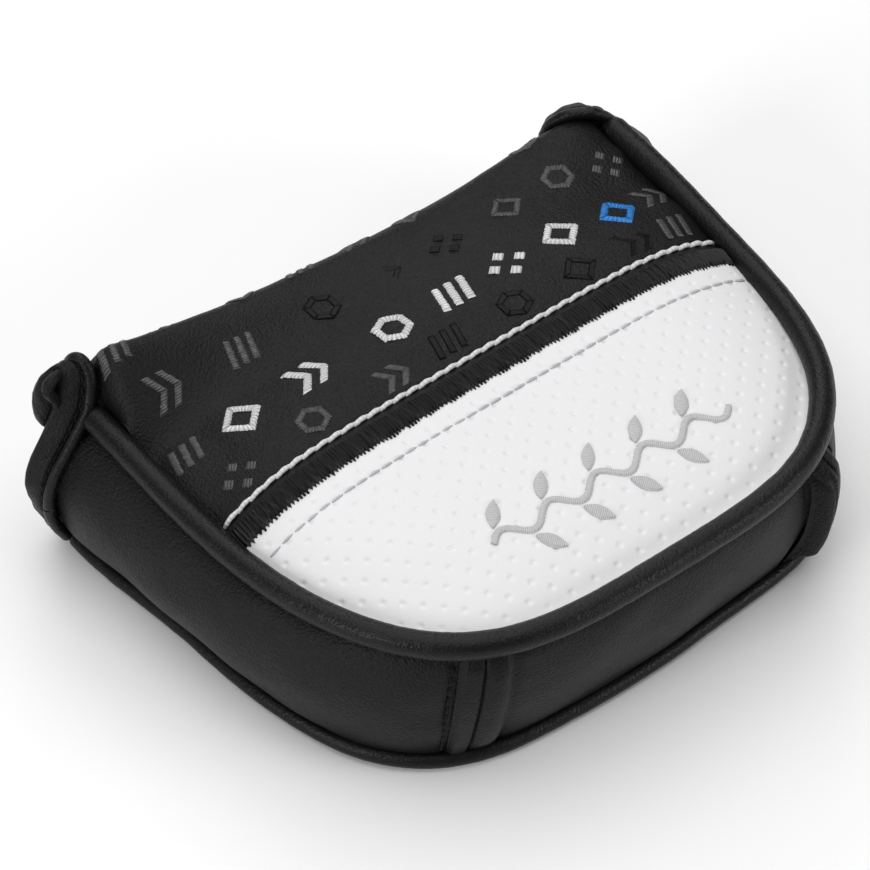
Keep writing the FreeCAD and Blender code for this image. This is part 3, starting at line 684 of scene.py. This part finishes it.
WHITE_AT = [(cx, -20.6, i) for i, cx in enumerate((-44.6, -28.9, -7.7, 7.3, 20.9, 34.4))]
motifs("white_embroidery", WHITE_AT, 1.0, 0.55, WHITE_THREAD, "white_thread", ("white_motifs",))
motifs("blue_embroidery", [(48.0, -22.0, 0)], 1.0, 0.55, BLUE_THREAD, "blue_thread", ("blue_motif",))
GREY_AT = [(-53.0, -6.5, 1), (-34.0, -6.5, 3), (32.7, -5.5, 0), (46.0, -5.5, 2), (-35.0, -31.0, 2),
           (-53.0, -31.5, 4), (55.5, -31.0, 3), (-17.0, -32.0, 1)]
REAR_ROW = [(-44.0, 8.5, 4), (-25.0, 8.5, 2), (-10.0, 8.5, 3), (3.0, 8.5, 1), (17.0, 8.5, 0), (47.0, 8.5, 2),
            (-57.0, 4.0, 3), (57.0, -8.0, 4), (57.5, -20.5, 1), (-57.0, -19.5, 3)]
motifs("tonal_embroidery", GREY_AT + REAR_ROW, 0.85, 0.24, TONAL_THREAD, "dark_thread", ("grey_motifs",))
PRESSED_AT = [(-14.0, -6.0, 2), (1.5, -6.0, 0), (17.0, -6.0, 4), (-2.2, -31.0, 3), (14.5, -31.0, 2),
              (30.5, -31.5, 0), (44.0, -31.5, 1)]


def pressed(c):
    """One flat stroke pressed dark into the black leather."""
    a, b = np.linspace(0, 1, 10)[:, None], np.linspace(0, 1, 5)[None, :]
    lo, hi = c[0] + (c[1] - c[0]) * a, c[3] + (c[2] - c[3]) * a
    q = lo[:, None, :] + (hi - lo)[:, None, :] * b[..., None]
    s = raised(q[..., 0], q[..., 1], 0.10)
    return shell_data(s if facing_out(c) else s[:, ::-1], 0.5)


add_parts("pressed_motifs", [pressed(c) for cx, cy, kind in PRESSED_AT for c in strokes(kind, cx, cy, 0.9)],
          FILM, "black_leather")

# Vine flourish on the light panel
VINE_X0, VINE_X1, VINE_Y, LEAF, LEAF_LONG = -26.0, 32.0, -75.5, 5.8, 6.2


def wave_y(x):
    return VINE_Y + 1.7 * np.sin(math.pi * (x - VINE_X0) / LEAF)


def ribbon(left, right, height, seed):
    """Satin ribbon between two plan lines."""
    rnd = np.random.default_rng(seed)
    count = len(left)
    b = np.linspace(0, 1, 9)[None, :, None]
    d = right - left
    w = np.maximum(np.linalg.norm(d, axis=1, keepdims=True), 1e-6)
    left = left - d / w * rnd.uniform(-0.07, 0.07, (count, 1))
    right = right + d / w * rnd.uniform(-0.07, 0.07, (count, 1))
    q = left[:, None] + (right - left)[:, None] * b
    run = run_along((left + right) / 2)
    threads = (0.8 + 0.2 * np.abs(np.sin(math.pi * run / 0.4)))[:, None]
    lift = height * (1 - np.abs(2 * b[..., 0] - 1) ** 4) * threads + 0.03
    uv = np.stack(np.broadcast_arrays(run[:, None] / 10.0, b[..., 0] * w / 10.0), -1)
    return shell_data(raised(q[..., 0], q[..., 1], lift), 0.4, uv)


def vine():
    """Wavy stem with leaves on alternate sides."""
    x = np.linspace(VINE_X0, VINE_X1, 560)
    slope = np.gradient(wave_y(x), x)
    half = 0.72 / np.sqrt(1 + slope ** 2)
    below = np.stack([x + half * slope, wave_y(x) - half], -1)
    above = np.stack([x - half * slope, wave_y(x) + half], -1)
    parts = [ribbon(below, above, 0.5, 1)]
    k = np.linspace(0.0, 1.0, 62)[:, None]
    wide = 0.14 + 1.3 * np.sin(math.pi * k) ** 0.8
    for i in range(int((VINE_X1 - VINE_X0 - 3.0) / LEAF)):
        x0, up = VINE_X0 + 2.0 + LEAF * i, 1.0 if i % 2 == 0 else -1.0
        along, across = np.array([0.62, 0.785 * up]), np.array([-0.785 * up, 0.62])
        rib = np.array([x0, float(wave_y(x0)) + 1.35 * up]) + along * LEAF_LONG * k
        parts.append(ribbon(rib - across * wide, rib + across * wide, 0.5, i + 5))
    add_parts("vine_embroidery", parts, GREY_THREAD, "grey_thread", ("panel_flourish",))


vine()


# ---------- piping ----------
def wrinkled_tube(name, path, r, seed, amount, mat, slot, replaces=(), sides=28):
    """Leather-covered cord with fine creases round it."""
    v, f, u = tube_data(path, r, sides)
    rings = v.reshape(-1, sides, 3)
    centre = rings.mean(1, keepdims=True)
    run = run_along(centre[:, 0])[:, None]
    ang = np.linspace(0, 2 * math.pi, sides, endpoint=False)[None, :]
    w = ripple(run, 2.6 * np.sin(ang), 1.6, seed, 11) * 0.5 + ripple(run, 4 * np.cos(ang), 7.0, seed + 1)
    rings = centre + (rings - centre) * (1 + amount * w)[..., None]
    add(name, rings.reshape(-1, 3), f, u, mat, "shell", slot, replaces)


s = np.linspace(0.6, S_END - 0.6, 900)
wrinkled_tube("edge_piping", np.stack([*plan(s, -toe_tuck(s)), -piping_sag(s)], -1), PIPING_R, 31, 0.016,
              CORDED, "black_piping", ("top_piping_cover", "top_piping_cord"))
s = np.linspace(-1.8, S_END + 1.8, 620)
wrinkled_tube("sole_edge_piping", np.stack([*plan(s, sole_offset(s)), np.full_like(s, GROUND + 1.8)], -1),
              SOLE_PIPING_R, 33, 0.02, CORDED, "black_piping", ("sole_piping",))


# ---------- side walls ----------
def wall_grid(s0, s1, z0, z1, step, depth, lift=None, seed=1, amount=0.3):
    """Grid of the side wall between two runs and two heights, `depth` behind its face."""
    s = np.linspace(s0, s1, int((s1 - s0) / step) + 2)
    z = np.linspace(z0, z1, 48)
    ss, zz = np.meshgrid(s, z, indexing="ij")
    off = wall_offset(ss, zz) - depth
    body = smooth(z0 - zz, 0.0, 4.0) * smooth(zz - z1, 0.0, 3.0)
    off = off + amount * body * (ripple(ss, zz, 24.0, seed) + 0.35 * ripple(ss * 0.6, zz, 9.0, seed + 1))
    if lift:
        off = off + lift(ss, zz)
    x, y = plan(ss + pleat_lean(ss, zz), off)
    return np.stack([x, y, zz - piping_sag(ss) * (zz - WALL_BOTTOM) / (WALL_TOP - WALL_BOTTOM)], -1)


def wall(name, s0, s1, step, lift, seed, amount, replaces):
    g = wall_grid(s0, s1, WALL_TOP + 0.1, WALL_BOTTOM - 0.1, step, 0.0, lift, seed, amount)
    shell(name, g[:, ::-1], LEATHER, mat=BLACK, slot="black_leather", replaces=(replaces,))


def side_panel(name, s0, s1, seams, seed, amount, replaces):
    """A side panel, pulled in along its seams."""
    def pull(s, z):
        return sum(-0.5 * np.exp(-((s - at) / 1.2) ** 2) for at in seams)
    wall(name, s0, s1, 0.9, pull, seed, amount, replaces)


HEEL_SEAMS, TOE_SEAMS = [(at - PLEAT_HALF, at + PLEAT_HALF) for at in (PLEAT, S_END - PLEAT)]
side_panel("heel_side_leather", -MOUTH_Y + 1.5, HEEL_SEAMS[0], HEEL_SEAMS[:1], 41, 0.32, "heel_side_panel")
side_panel("nose_side_leather", HEEL_SEAMS[1], TOE_SEAMS[0], (HEEL_SEAMS[1], TOE_SEAMS[0]), 43, 0.26,
           "nose_side_panel")
side_panel("toe_side_leather", TOE_SEAMS[1], S_END + MOUTH_Y - 1.5, TOE_SEAMS[1:], 45, 0.32, "toe_side_panel")


def pleat(name, centre, toward_nose, loose, replaces):
    """Flat strip, fold edge and padding up to the second edge, which is nearest the nose. A loose pleat
    stands out from the wall by `loose` and has two narrow folds in place of the pad."""
    def lift(s, z):
        k = (s - centre) * toward_nose
        mid = smooth(WALL_TOP - z, 0.0, 5.0) * smooth(z - WALL_BOTTOM, 0.0, 5.0)
        if loose:
            strip = 0.75 * smooth(k, -5.2, -0.9)
            pad = 1.5 * np.exp(-((k - 4.0) / 0.95) ** 4) + 1.1 * np.exp(-((k - 0.55) / 0.85) ** 4)
        else:
            strip = 1.1 * smooth(k, -5.2, -3.4)
            pad = 0.15 + 1.6 * np.sin(math.pi * np.clip((k + 0.6) / 5.9, 0, 1)) ** 0.6
        strip = strip * (1 - smooth(k, -0.75, -0.45))
        pad = pad * smooth(k, -0.75, -0.4)
        edge = -(0.35 + 0.14 * loose * mid) * np.exp(-((k + 0.6) / 0.28) ** 2)
        bow = loose * mid * (0.7 * smooth(k, -5.1, -2.6) + 0.3 * smooth(k, -0.6, 2.2))
        lip = np.sqrt(np.clip(1.0 - (np.clip(k - 3.5, 0.0, None) / 1.66) ** 2, 0.0, 1.0))
        return strip + (pad * (0.45 + 0.55 * mid) + bow) * lip + edge
    wall(name, centre - PLEAT_HALF + 0.05, centre + PLEAT_HALF - 0.05, 0.16, lift, 47, 0.15, replaces)


pleat("heel_nose_pleat", PLEAT, 1.0, 0.0, "heel_pleat")
pleat("toe_nose_pleat", S_END - PLEAT, -1.0, 3.3, "toe_pleat")


def stitch_path(points, pitch, length, r):
    """Short stitches along a smooth line given by (point, outward) pairs."""
    pts = np.asarray(points, float)
    path, out = pts[:, 0], pts[:, 1]
    run = run_along(path)
    count = max(1, int(run[-1] / pitch))
    parts = []
    k = np.linspace(-0.5, 0.5, 7)
    arch = (0.28 * np.cos(math.pi * k) - 0.02)[:, None]
    for i in range(count):
        at = (i + 0.5) * run[-1] / count + k * length
        p = np.stack([np.interp(at, run, path[:, j]) for j in range(3)], -1)
        o = np.stack([np.interp(at, run, out[:, j]) for j in range(3)], -1)
        parts.append(tube_data(p + o * arch, r, 8, side=(0.3, 0.9, 0.2)))
    return parts


def wall_line(s, z):
    """(point, outward) pairs down the wall's face."""
    s, z = np.broadcast_arrays(np.asarray(s, float), np.asarray(z, float))
    p, q = [np.stack([*plan(s + pleat_lean(s, z), wall_offset(s, z) + out), z], -1) for out in (0.0, 1.0)]
    return np.stack([p, q - p], 1)


zs = np.linspace(-4.5, -31.0, 40)
add_parts("pleat_topstitches", stitch_path(wall_line(HEEL_SEAMS[0] - 1.0, zs), 2.3, 1.7, 0.30)
          + stitch_path(wall_line(TOE_SEAMS[1] + 1.0, zs), 3.0, 2.1, 0.24),
          BLACK_THREAD, "black_thread", ("pleat_stitches",))


# ---------- padding and lining ----------
def padding(name, data, replaces, body="shell"):
    """Foam with its knit lining, one soft piece."""
    add(name, *data, LINING, body, "lining", replaces)


Y, U = np.meshgrid(np.linspace(-91.0, 1.0, 70), np.linspace(-1, 1, 60), indexing="ij")
X = U * side_x(Y * 1.02, 7.2)
Z = top_z(X, Y) - 1.35
upper, lower = np.stack([X, Y, Z], -1), np.stack([X, Y, Z - 4.0 - 0.35 * ripple(X, Y, 16.0, 61)], -1)
padding("top_padding", slab_data(upper[:, ::-1], lower[:, ::-1]), ("top_foam", "top_lining"))

outer, inner = [wall_grid(-1.2, S_END + 1.2, -6.2, -30.6, 2.2, depth, None, 65, amount)[:, ::-1]
                for depth, amount in ((1.35, 0.0), (5.3, 0.3))]
padding("side_padding", slab_data(outer, inner), ("side_foam", "side_lining"))


def plan_slab(inset, rear_y, z_low, z_top, seed, amount):
    """Flat slab over the sole's plan."""
    x, y, t = nose_grid(90, 60, inset, rear_y, base=True)
    top = np.stack([x, y, z_top + amount * ripple(x, y, 20.0, seed) * (1 - t ** 6)], -1)
    return slab_data(top, np.stack([x, y, np.full_like(x, z_low)], -1))


add("sole_leather_panel", *plan_slab(2.0, 3.0, -33.0, -31.85, 71, 0.0), BLACK, "shell", "black_leather",
    ("sole_panel",))
padding("sole_padding", plan_slab(7.2, 2.2, -31.7, -28.2, 73, 0.25), ("sole_foam", "sole_lining"))
xb = np.linspace(-52.0, 52.0, 90)
path = np.stack([xb, np.full_like(xb, 5.1), top_z(xb, np.full_like(xb, ROLL_Y)) - 4.2], -1)
padding("rear_roll_padding", tube_data(path, 2.0, 20), ("roll_bolster",))

# ---------- mouth hems ----------
# Each hem is a strip from its corded fold, against the wall, to its rolled edge at the mouth. Both lines run
# from the foot of the mouth up and over the rear corner; x is the distance from the middle.
FOLD_TOP = {
    "heel": [(67.9, 0.6, -1.2), (65.9, 1.0, 1.3), (64.4, 1.8, 3.9), (63.4, 2.8, 6.8), (63.0, 4.2, 9.2),
             (63.3, 5.9, 10.4), (64.0, 7.6, 9.6), (64.5, 9.0, 6.8), (64.8, 9.5, 3.0)],
    "toe": [(68.0, 0.7, -2.3), (65.9, 1.2, 0.3), (63.9, 1.8, 2.6), (61.8, 2.5, 4.2), (59.8, 3.9, 4.2),
            (57.8, 5.4, 3.8), (56.2, 7.0, 2.3), (55.0, 8.6, 0.1), (54.3, 9.6, -3.1)]}
BAND_EDGE = {
    "heel": [(73.4, 5.0, -29.5), (74.6, 5.0, -26.2), (76.6, 5.0, -20.9), (77.5, 5.0, -16.2),
             (77.3, 5.0, -12.4), (75.9, 5.0, -8.6), (73.6, 5.0, -4.8), (71.5, 5.0, -1.2), (70.0, 5.0, 2.0),
             (68.9, 5.2, 5.0), (67.9, 5.6, 7.2), (67.0, 6.6, 8.8), (66.5, 8.0, 8.2), (66.4, 9.4, 5.6),
             (66.6, 10.0, 1.4)],
    "toe": [(73.5, 5.0, -29.5), (74.6, 5.0, -26.2), (76.0, 5.0, -20.9), (76.4, 5.0, -16.2),
            (75.4, 5.1, -12.6), (72.8, 5.3, -10.2), (70.4, 5.6, -8.0), (68.3, 5.9, -5.0), (66.0, 6.2, -2.0),
            (63.4, 6.3, 1.2), (61.9, 7.2, 2.2), (60.2, 8.2, 1.8), (58.7, 9.5, 0.4), (57.5, 10.6, -1.6),
            (57.0, 11.2, -4.2)]}
HEM_STATIONS, HEM_R = 150, 1.05
ROLLS_AT, SEWN_AT = 0.72, 0.2    # shares of the strip's width where it rolls under and where it is sewn


def fold_line(side):
    z = np.linspace(-29.5, -5.5, 6)
    mouth = np.zeros(6)
    slope = wall_offset(mouth, z + 0.5) - wall_offset(mouth, z - 0.5)
    clear = (1.5 - 0.35 * smooth(-z, 22.0, 29.0)) * np.sqrt(1 + slope ** 2)
    low = np.stack([HALF + wall_offset(mouth, z) + clear, np.full(6, 0.6), z], -1)
    return np.concatenate([low, FOLD_TOP[side]])


def hem(side):
    """Cord in the fold, the strip with its rolled edge, and its stitches."""
    k = -1.0 if side == "heel" else 1.0
    a, b = [curve_through(np.array(p) * [k, 1, 1], HEM_STATIONS) for p in (fold_line(side), BAND_EDGE[side])]
    run = np.linspace(0, 1, HEM_STATIONS)
    wrinkled_tube(side + "_mouth_cord", a, 1.22 * (1 - 0.3 * smooth(run, 0.86, 1.0)), 81, 0.02, CORDED,
                  "black_piping", (side + "_mouth_fold",), sides=22)
    out = np.cross(np.gradient(a, axis=0), b - a) * -k
    out /= np.linalg.norm(out, axis=1, keepdims=True)
    lead = (b - a) / np.linalg.norm(b - a, axis=1, keepdims=True)
    across = np.linspace(0.0, 1.0, 34)
    rows = []
    for t in across:
        base = a + (b - a) * min(t / ROLLS_AT, 1.0)
        if t <= ROLLS_AT:
            h = 0.1 + 0.95 * math.sin(math.pi * 0.5 * min(1.0, t / 0.5))
            h -= 0.5 * math.exp(-((t - SEWN_AT) / 0.05) ** 2)
            rows.append(base + out * h)
        else:
            turn = math.pi * (t - ROLLS_AT) / (1.0 - ROLLS_AT)
            rows.append(base + out * (HEM_R * math.cos(turn)) + lead * (HEM_R * math.sin(turn)))
    uneven = 0.16 * ripple(run[:, None] * 70, across[None, :] * 7, 6.0, 83)
    g = np.stack(rows, 1) + out[:, None, :] * uneven[..., None]
    shell(side + "_mouth_hem", g[:, ::-1] if k > 0 else g, 0.95, mat=BLACK, slot="black_leather",
          replaces=(side + "_mouth_band",))
    seam = np.stack([a + (b - a) * (SEWN_AT / ROLLS_AT) + out * 0.42, out], 1)[6:138]
    add_parts(side + "_hem_stitches", stitch_path(seam, 2.5, 1.8, 0.24), BLACK_THREAD, "black_thread")


hem("heel")
hem("toe")

# Curled end of the heel hem
curl = curve_through([(-66.2, 7.2, 7.8), (-68.4, 6.4, 8.8), (-70.2, 5.6, 9.3), (-71.3, 5.2, 9.0),
                      (-71.8, 4.9, 8.0), (-71.5, 4.8, 6.8), (-70.9, 4.7, 5.6), (-70.2, 4.8, 4.2),
                      (-70.0, 5.0, 2.4)], 90)
plump = 0.75 + 0.45 * np.sin(math.pi * np.clip(np.linspace(0, 1, 90), 0.04, 0.96)) ** 0.6
wrinkled_tube("heel_hem_curl", curl, plump, 85, 0.03, BLACK, "black_leather", sides=22)


def lobe(name, centre, radii, seed):
    """Soft corner that bulges behind a hem."""
    n, m = 40, 30
    th = np.linspace(0.02, math.pi - 0.02, n)[:, None]
    ph = np.linspace(0, 2 * math.pi, m, endpoint=False)[None, :]
    d = np.stack(np.broadcast_arrays(np.sin(th) * np.cos(ph), np.sin(th) * np.sin(ph), np.cos(th)), -1)
    r = 1 + 0.03 * ripple(6 * th, 5 * np.sin(ph) + 3 * np.cos(ph), 3.0, seed)
    p = np.array(centre) + np.sign(d) * np.abs(d) ** 0.85 * np.array(radii) * r[..., None]
    faces = quads(n, m, wrap=True)
    faces.append(tuple(range(m - 1, -1, -1)))
    faces.append(tuple((n - 1) * m + i for i in range(m)))
    add(name, p.reshape(-1, 3), faces, None, BLACK, "shell", "black_leather")


lobe("heel_corner_bulge", (-67.4, 8.0, 1.2), (6.0, 2.6, 8.0), 91)
lobe("toe_corner_bulge", (63.2, 7.0, -3.8), (5.6, 2.4, 3.6), 93)

# ---------- flap and tongue ----------
Z, U = np.meshgrid(np.linspace(HINGE_Z - 1.6, GROUND + 4.4, 30), np.linspace(-1, 1, 70), indexing="ij")
X = U * (flap_half(Z) - 3.2)
Y = 4.2 + 0.18 * ripple(X, Z, 14.0, 101)
back, face = [np.stack([X, y, Z], -1)[:, ::-1] for y in (np.full_like(X, 7.75), Y)]
padding("flap_padding", slab_data(back, face), ("flap_foam", "flap_lining"), "flap")

z = np.linspace(GROUND + 2.0, HINGE_Z - 1.0, 90)
outward = np.tile([0.0, 1.0, 0.0], (len(z), 1))
parts = []
for sign, end in ((-1, "heel"), (1, "toe")):
    path = np.stack([sign * (flap_half(z) + 0.6), np.full_like(z, FLAP_Y - 1.4), z], -1)
    add("flap_" + end + "_edge", *tube_data(path, 1.35, 18, side=(0, 1, 0)), CORDED, "flap", "black_piping",
        ("flap_" + end + "_binding",))
    seam = np.stack([sign * (flap_half(z) - 3.0), FLAP_Y + flap_puff(0.955, z), z], -1)
    parts += stitch_path(np.stack([seam, outward], 1)[4:-6], 2.9, 2.0, 0.24)
add_parts("flap_stitches", parts, BLACK_THREAD, "black_thread", ("flap_topstitch",), "flap")

# Tongue: a strap sewn low on the flap that turns the corner and lies under the sole
HALF_T, LONG_T, CORNER_T, THICK_T = 21.0, 31.0, 8.0, 0.75
STRAP_Y, TURN_R = FLAP_Y + 1.75, 2.75


def strap_line():
    """(y, z) of the strap's outer face, from its top on the flap round to its tip."""
    down = [(STRAP_Y, z) for z in np.linspace(-23.0, -32.6, 12)]
    turn = [(STRAP_Y - TURN_R + TURN_R * math.cos(a), -33.2 - TURN_R * math.sin(a))
            for a in np.linspace(0.1, 1.47, 12)]
    flat = [(y, GROUND + 0.04) for y in np.linspace(FLAP_Y - 2.2, FLAP_Y - LONG_T, 46)]
    return np.array(down + turn + flat)


def strap_half(run, half):
    """Half width at `run` from a rounded end."""
    k = np.clip(1 - run / CORNER_T, 0, 1)
    return half - CORNER_T + CORNER_T * np.sqrt(np.maximum(0.0, 1 - k ** 2))


def strap_grid(half, y, z):
    """Grid across the strap from its half width, y and z at each station."""
    return np.stack(np.broadcast_arrays(half[:, None] * np.linspace(-1, 1, 44), y[:, None], z[:, None]), -1)


line = strap_line()
y, z = line.T
run = run_along(line)
wide = np.minimum(strap_half(run, HALF_T), strap_half(run[-1] - run, HALF_T))
ob = shell("tongue_leather", strap_grid(wide, y, z)[:, ::-1], THICK_T, mat=BLACK, body=None,
           slot="black_leather", replaces=("tongue_panel",))
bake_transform(ob)
outward = np.stack([np.zeros(len(y)), -np.gradient(z), np.gradient(y)], -1)
outward /= np.linalg.norm(outward, axis=1, keepdims=True)
parts = []
for sign in (-1, 1):
    seam = np.stack([sign * (wide - 1.6), y, z], -1) - outward * 0.06
    parts += stitch_path(np.stack([seam, outward], 1)[2:12], 2.6, 1.8, 0.17)
add_parts("strap_stitches", parts, BLACK_THREAD, "black_thread", body="flap")

y = np.linspace(FLAP_Y - 3.8, FLAP_Y - LONG_T + 1.0, 26)
g = strap_grid(strap_half(y - y[-1], HALF_T - 0.8), y, np.full_like(y, GROUND + 2.6))
shell("tongue_facing", g, THICK_T, mat=LINING, body="tongue", slot="lining", replaces=("tongue_lining",))

# Stiffener, magnets and steel discs are the frame's own solids
for name, mat in (("tongue_core", STIFF), ("tongue_magnets", PLATE), ("sole_keepers", STEEL)):
    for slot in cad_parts[name].material_slots:
        slot.material = mat

# ---------- floor, light, camera ----------
def stage_material(name, color):
    m, nt, b = new_mat(name, color, 0.7)
    fine = node(nt, "ShaderNodeTexNoise", {"Vector": where(nt), "Scale": 18.0, "Detail": 3.0})
    nt.links.new(blend_color(nt, fine.outputs[0], color, tuple(min(1.0, c * 1.01) for c in color)),
                 b.inputs["Base Color"])
    return m


FLOOR_HALF, FLOOR_Z = 3.0, -0.0006
me = bpy.data.meshes.new("floor")
corners = ((-1, -1), (1, -1), (1, 1), (-1, 1))
me.from_pydata([(i * FLOOR_HALF, j * FLOOR_HALF, FLOOR_Z) for i, j in corners], [], [(0, 1, 2, 3)])
floor = bpy.data.objects.new("floor", me)
bpy.context.scene.collection.objects.link(floor)
me.materials.append(stage_material("pale_floor", (0.93, 0.93, 0.93)))

world = bpy.data.worlds.new("studio")
bpy.context.scene.world = world
world.use_nodes = True
world.node_tree.nodes["Background"].inputs[0].default_value = (1.0, 1.0, 1.0, 1.0)
world.node_tree.nodes["Background"].inputs[1].default_value = 0.14
bpy.context.scene.view_settings.view_transform = "Standard"


def area_light(name, at, size, power, aim=(0, 0, 0.02)):
    d = bpy.data.lights.new(name, "AREA")
    d.shape = "RECTANGLE"
    d.size, d.size_y = size
    d.energy = power
    o = bpy.data.objects.new(name, d)
    bpy.context.scene.collection.objects.link(o)
    o.location = at
    o.rotation_euler = (Vector(aim) - Vector(at)).to_track_quat("-Z", "Y").to_euler()


area_light("overhead", (0.05, 0.2, 1.35), (1.8, 1.8), 18.2)
area_light("rear", (0.55, 1.15, 0.85), (0.8, 0.5), 4.0)
area_light("left", (-1.15, -0.15, 0.55), (0.4, 0.6), 6.5)
area_light("front", (0.75, -1.0, 0.45), (0.6, 0.4), 5.0)

az, el, dist = math.radians(-37.98), math.radians(48.09), 0.9331
target = to_row([-15.71, -44.27, 0.0])
back = np.array([math.sin(az) * math.cos(el), -math.cos(az) * math.cos(el), math.sin(el)])
cam = bpy.data.cameras.new("camera")
cam.lens, cam.sensor_width = 200.0, 36.0
cam.clip_start, cam.clip_end = 0.01, 20.0
co = bpy.data.objects.new("camera", cam)
bpy.context.scene.collection.objects.link(co)
co.location = Vector(target + back * dist)
co.rotation_euler = Vector(-back).to_track_quat("-Z", "Y").to_euler()
bpy.context.scene.camera = co
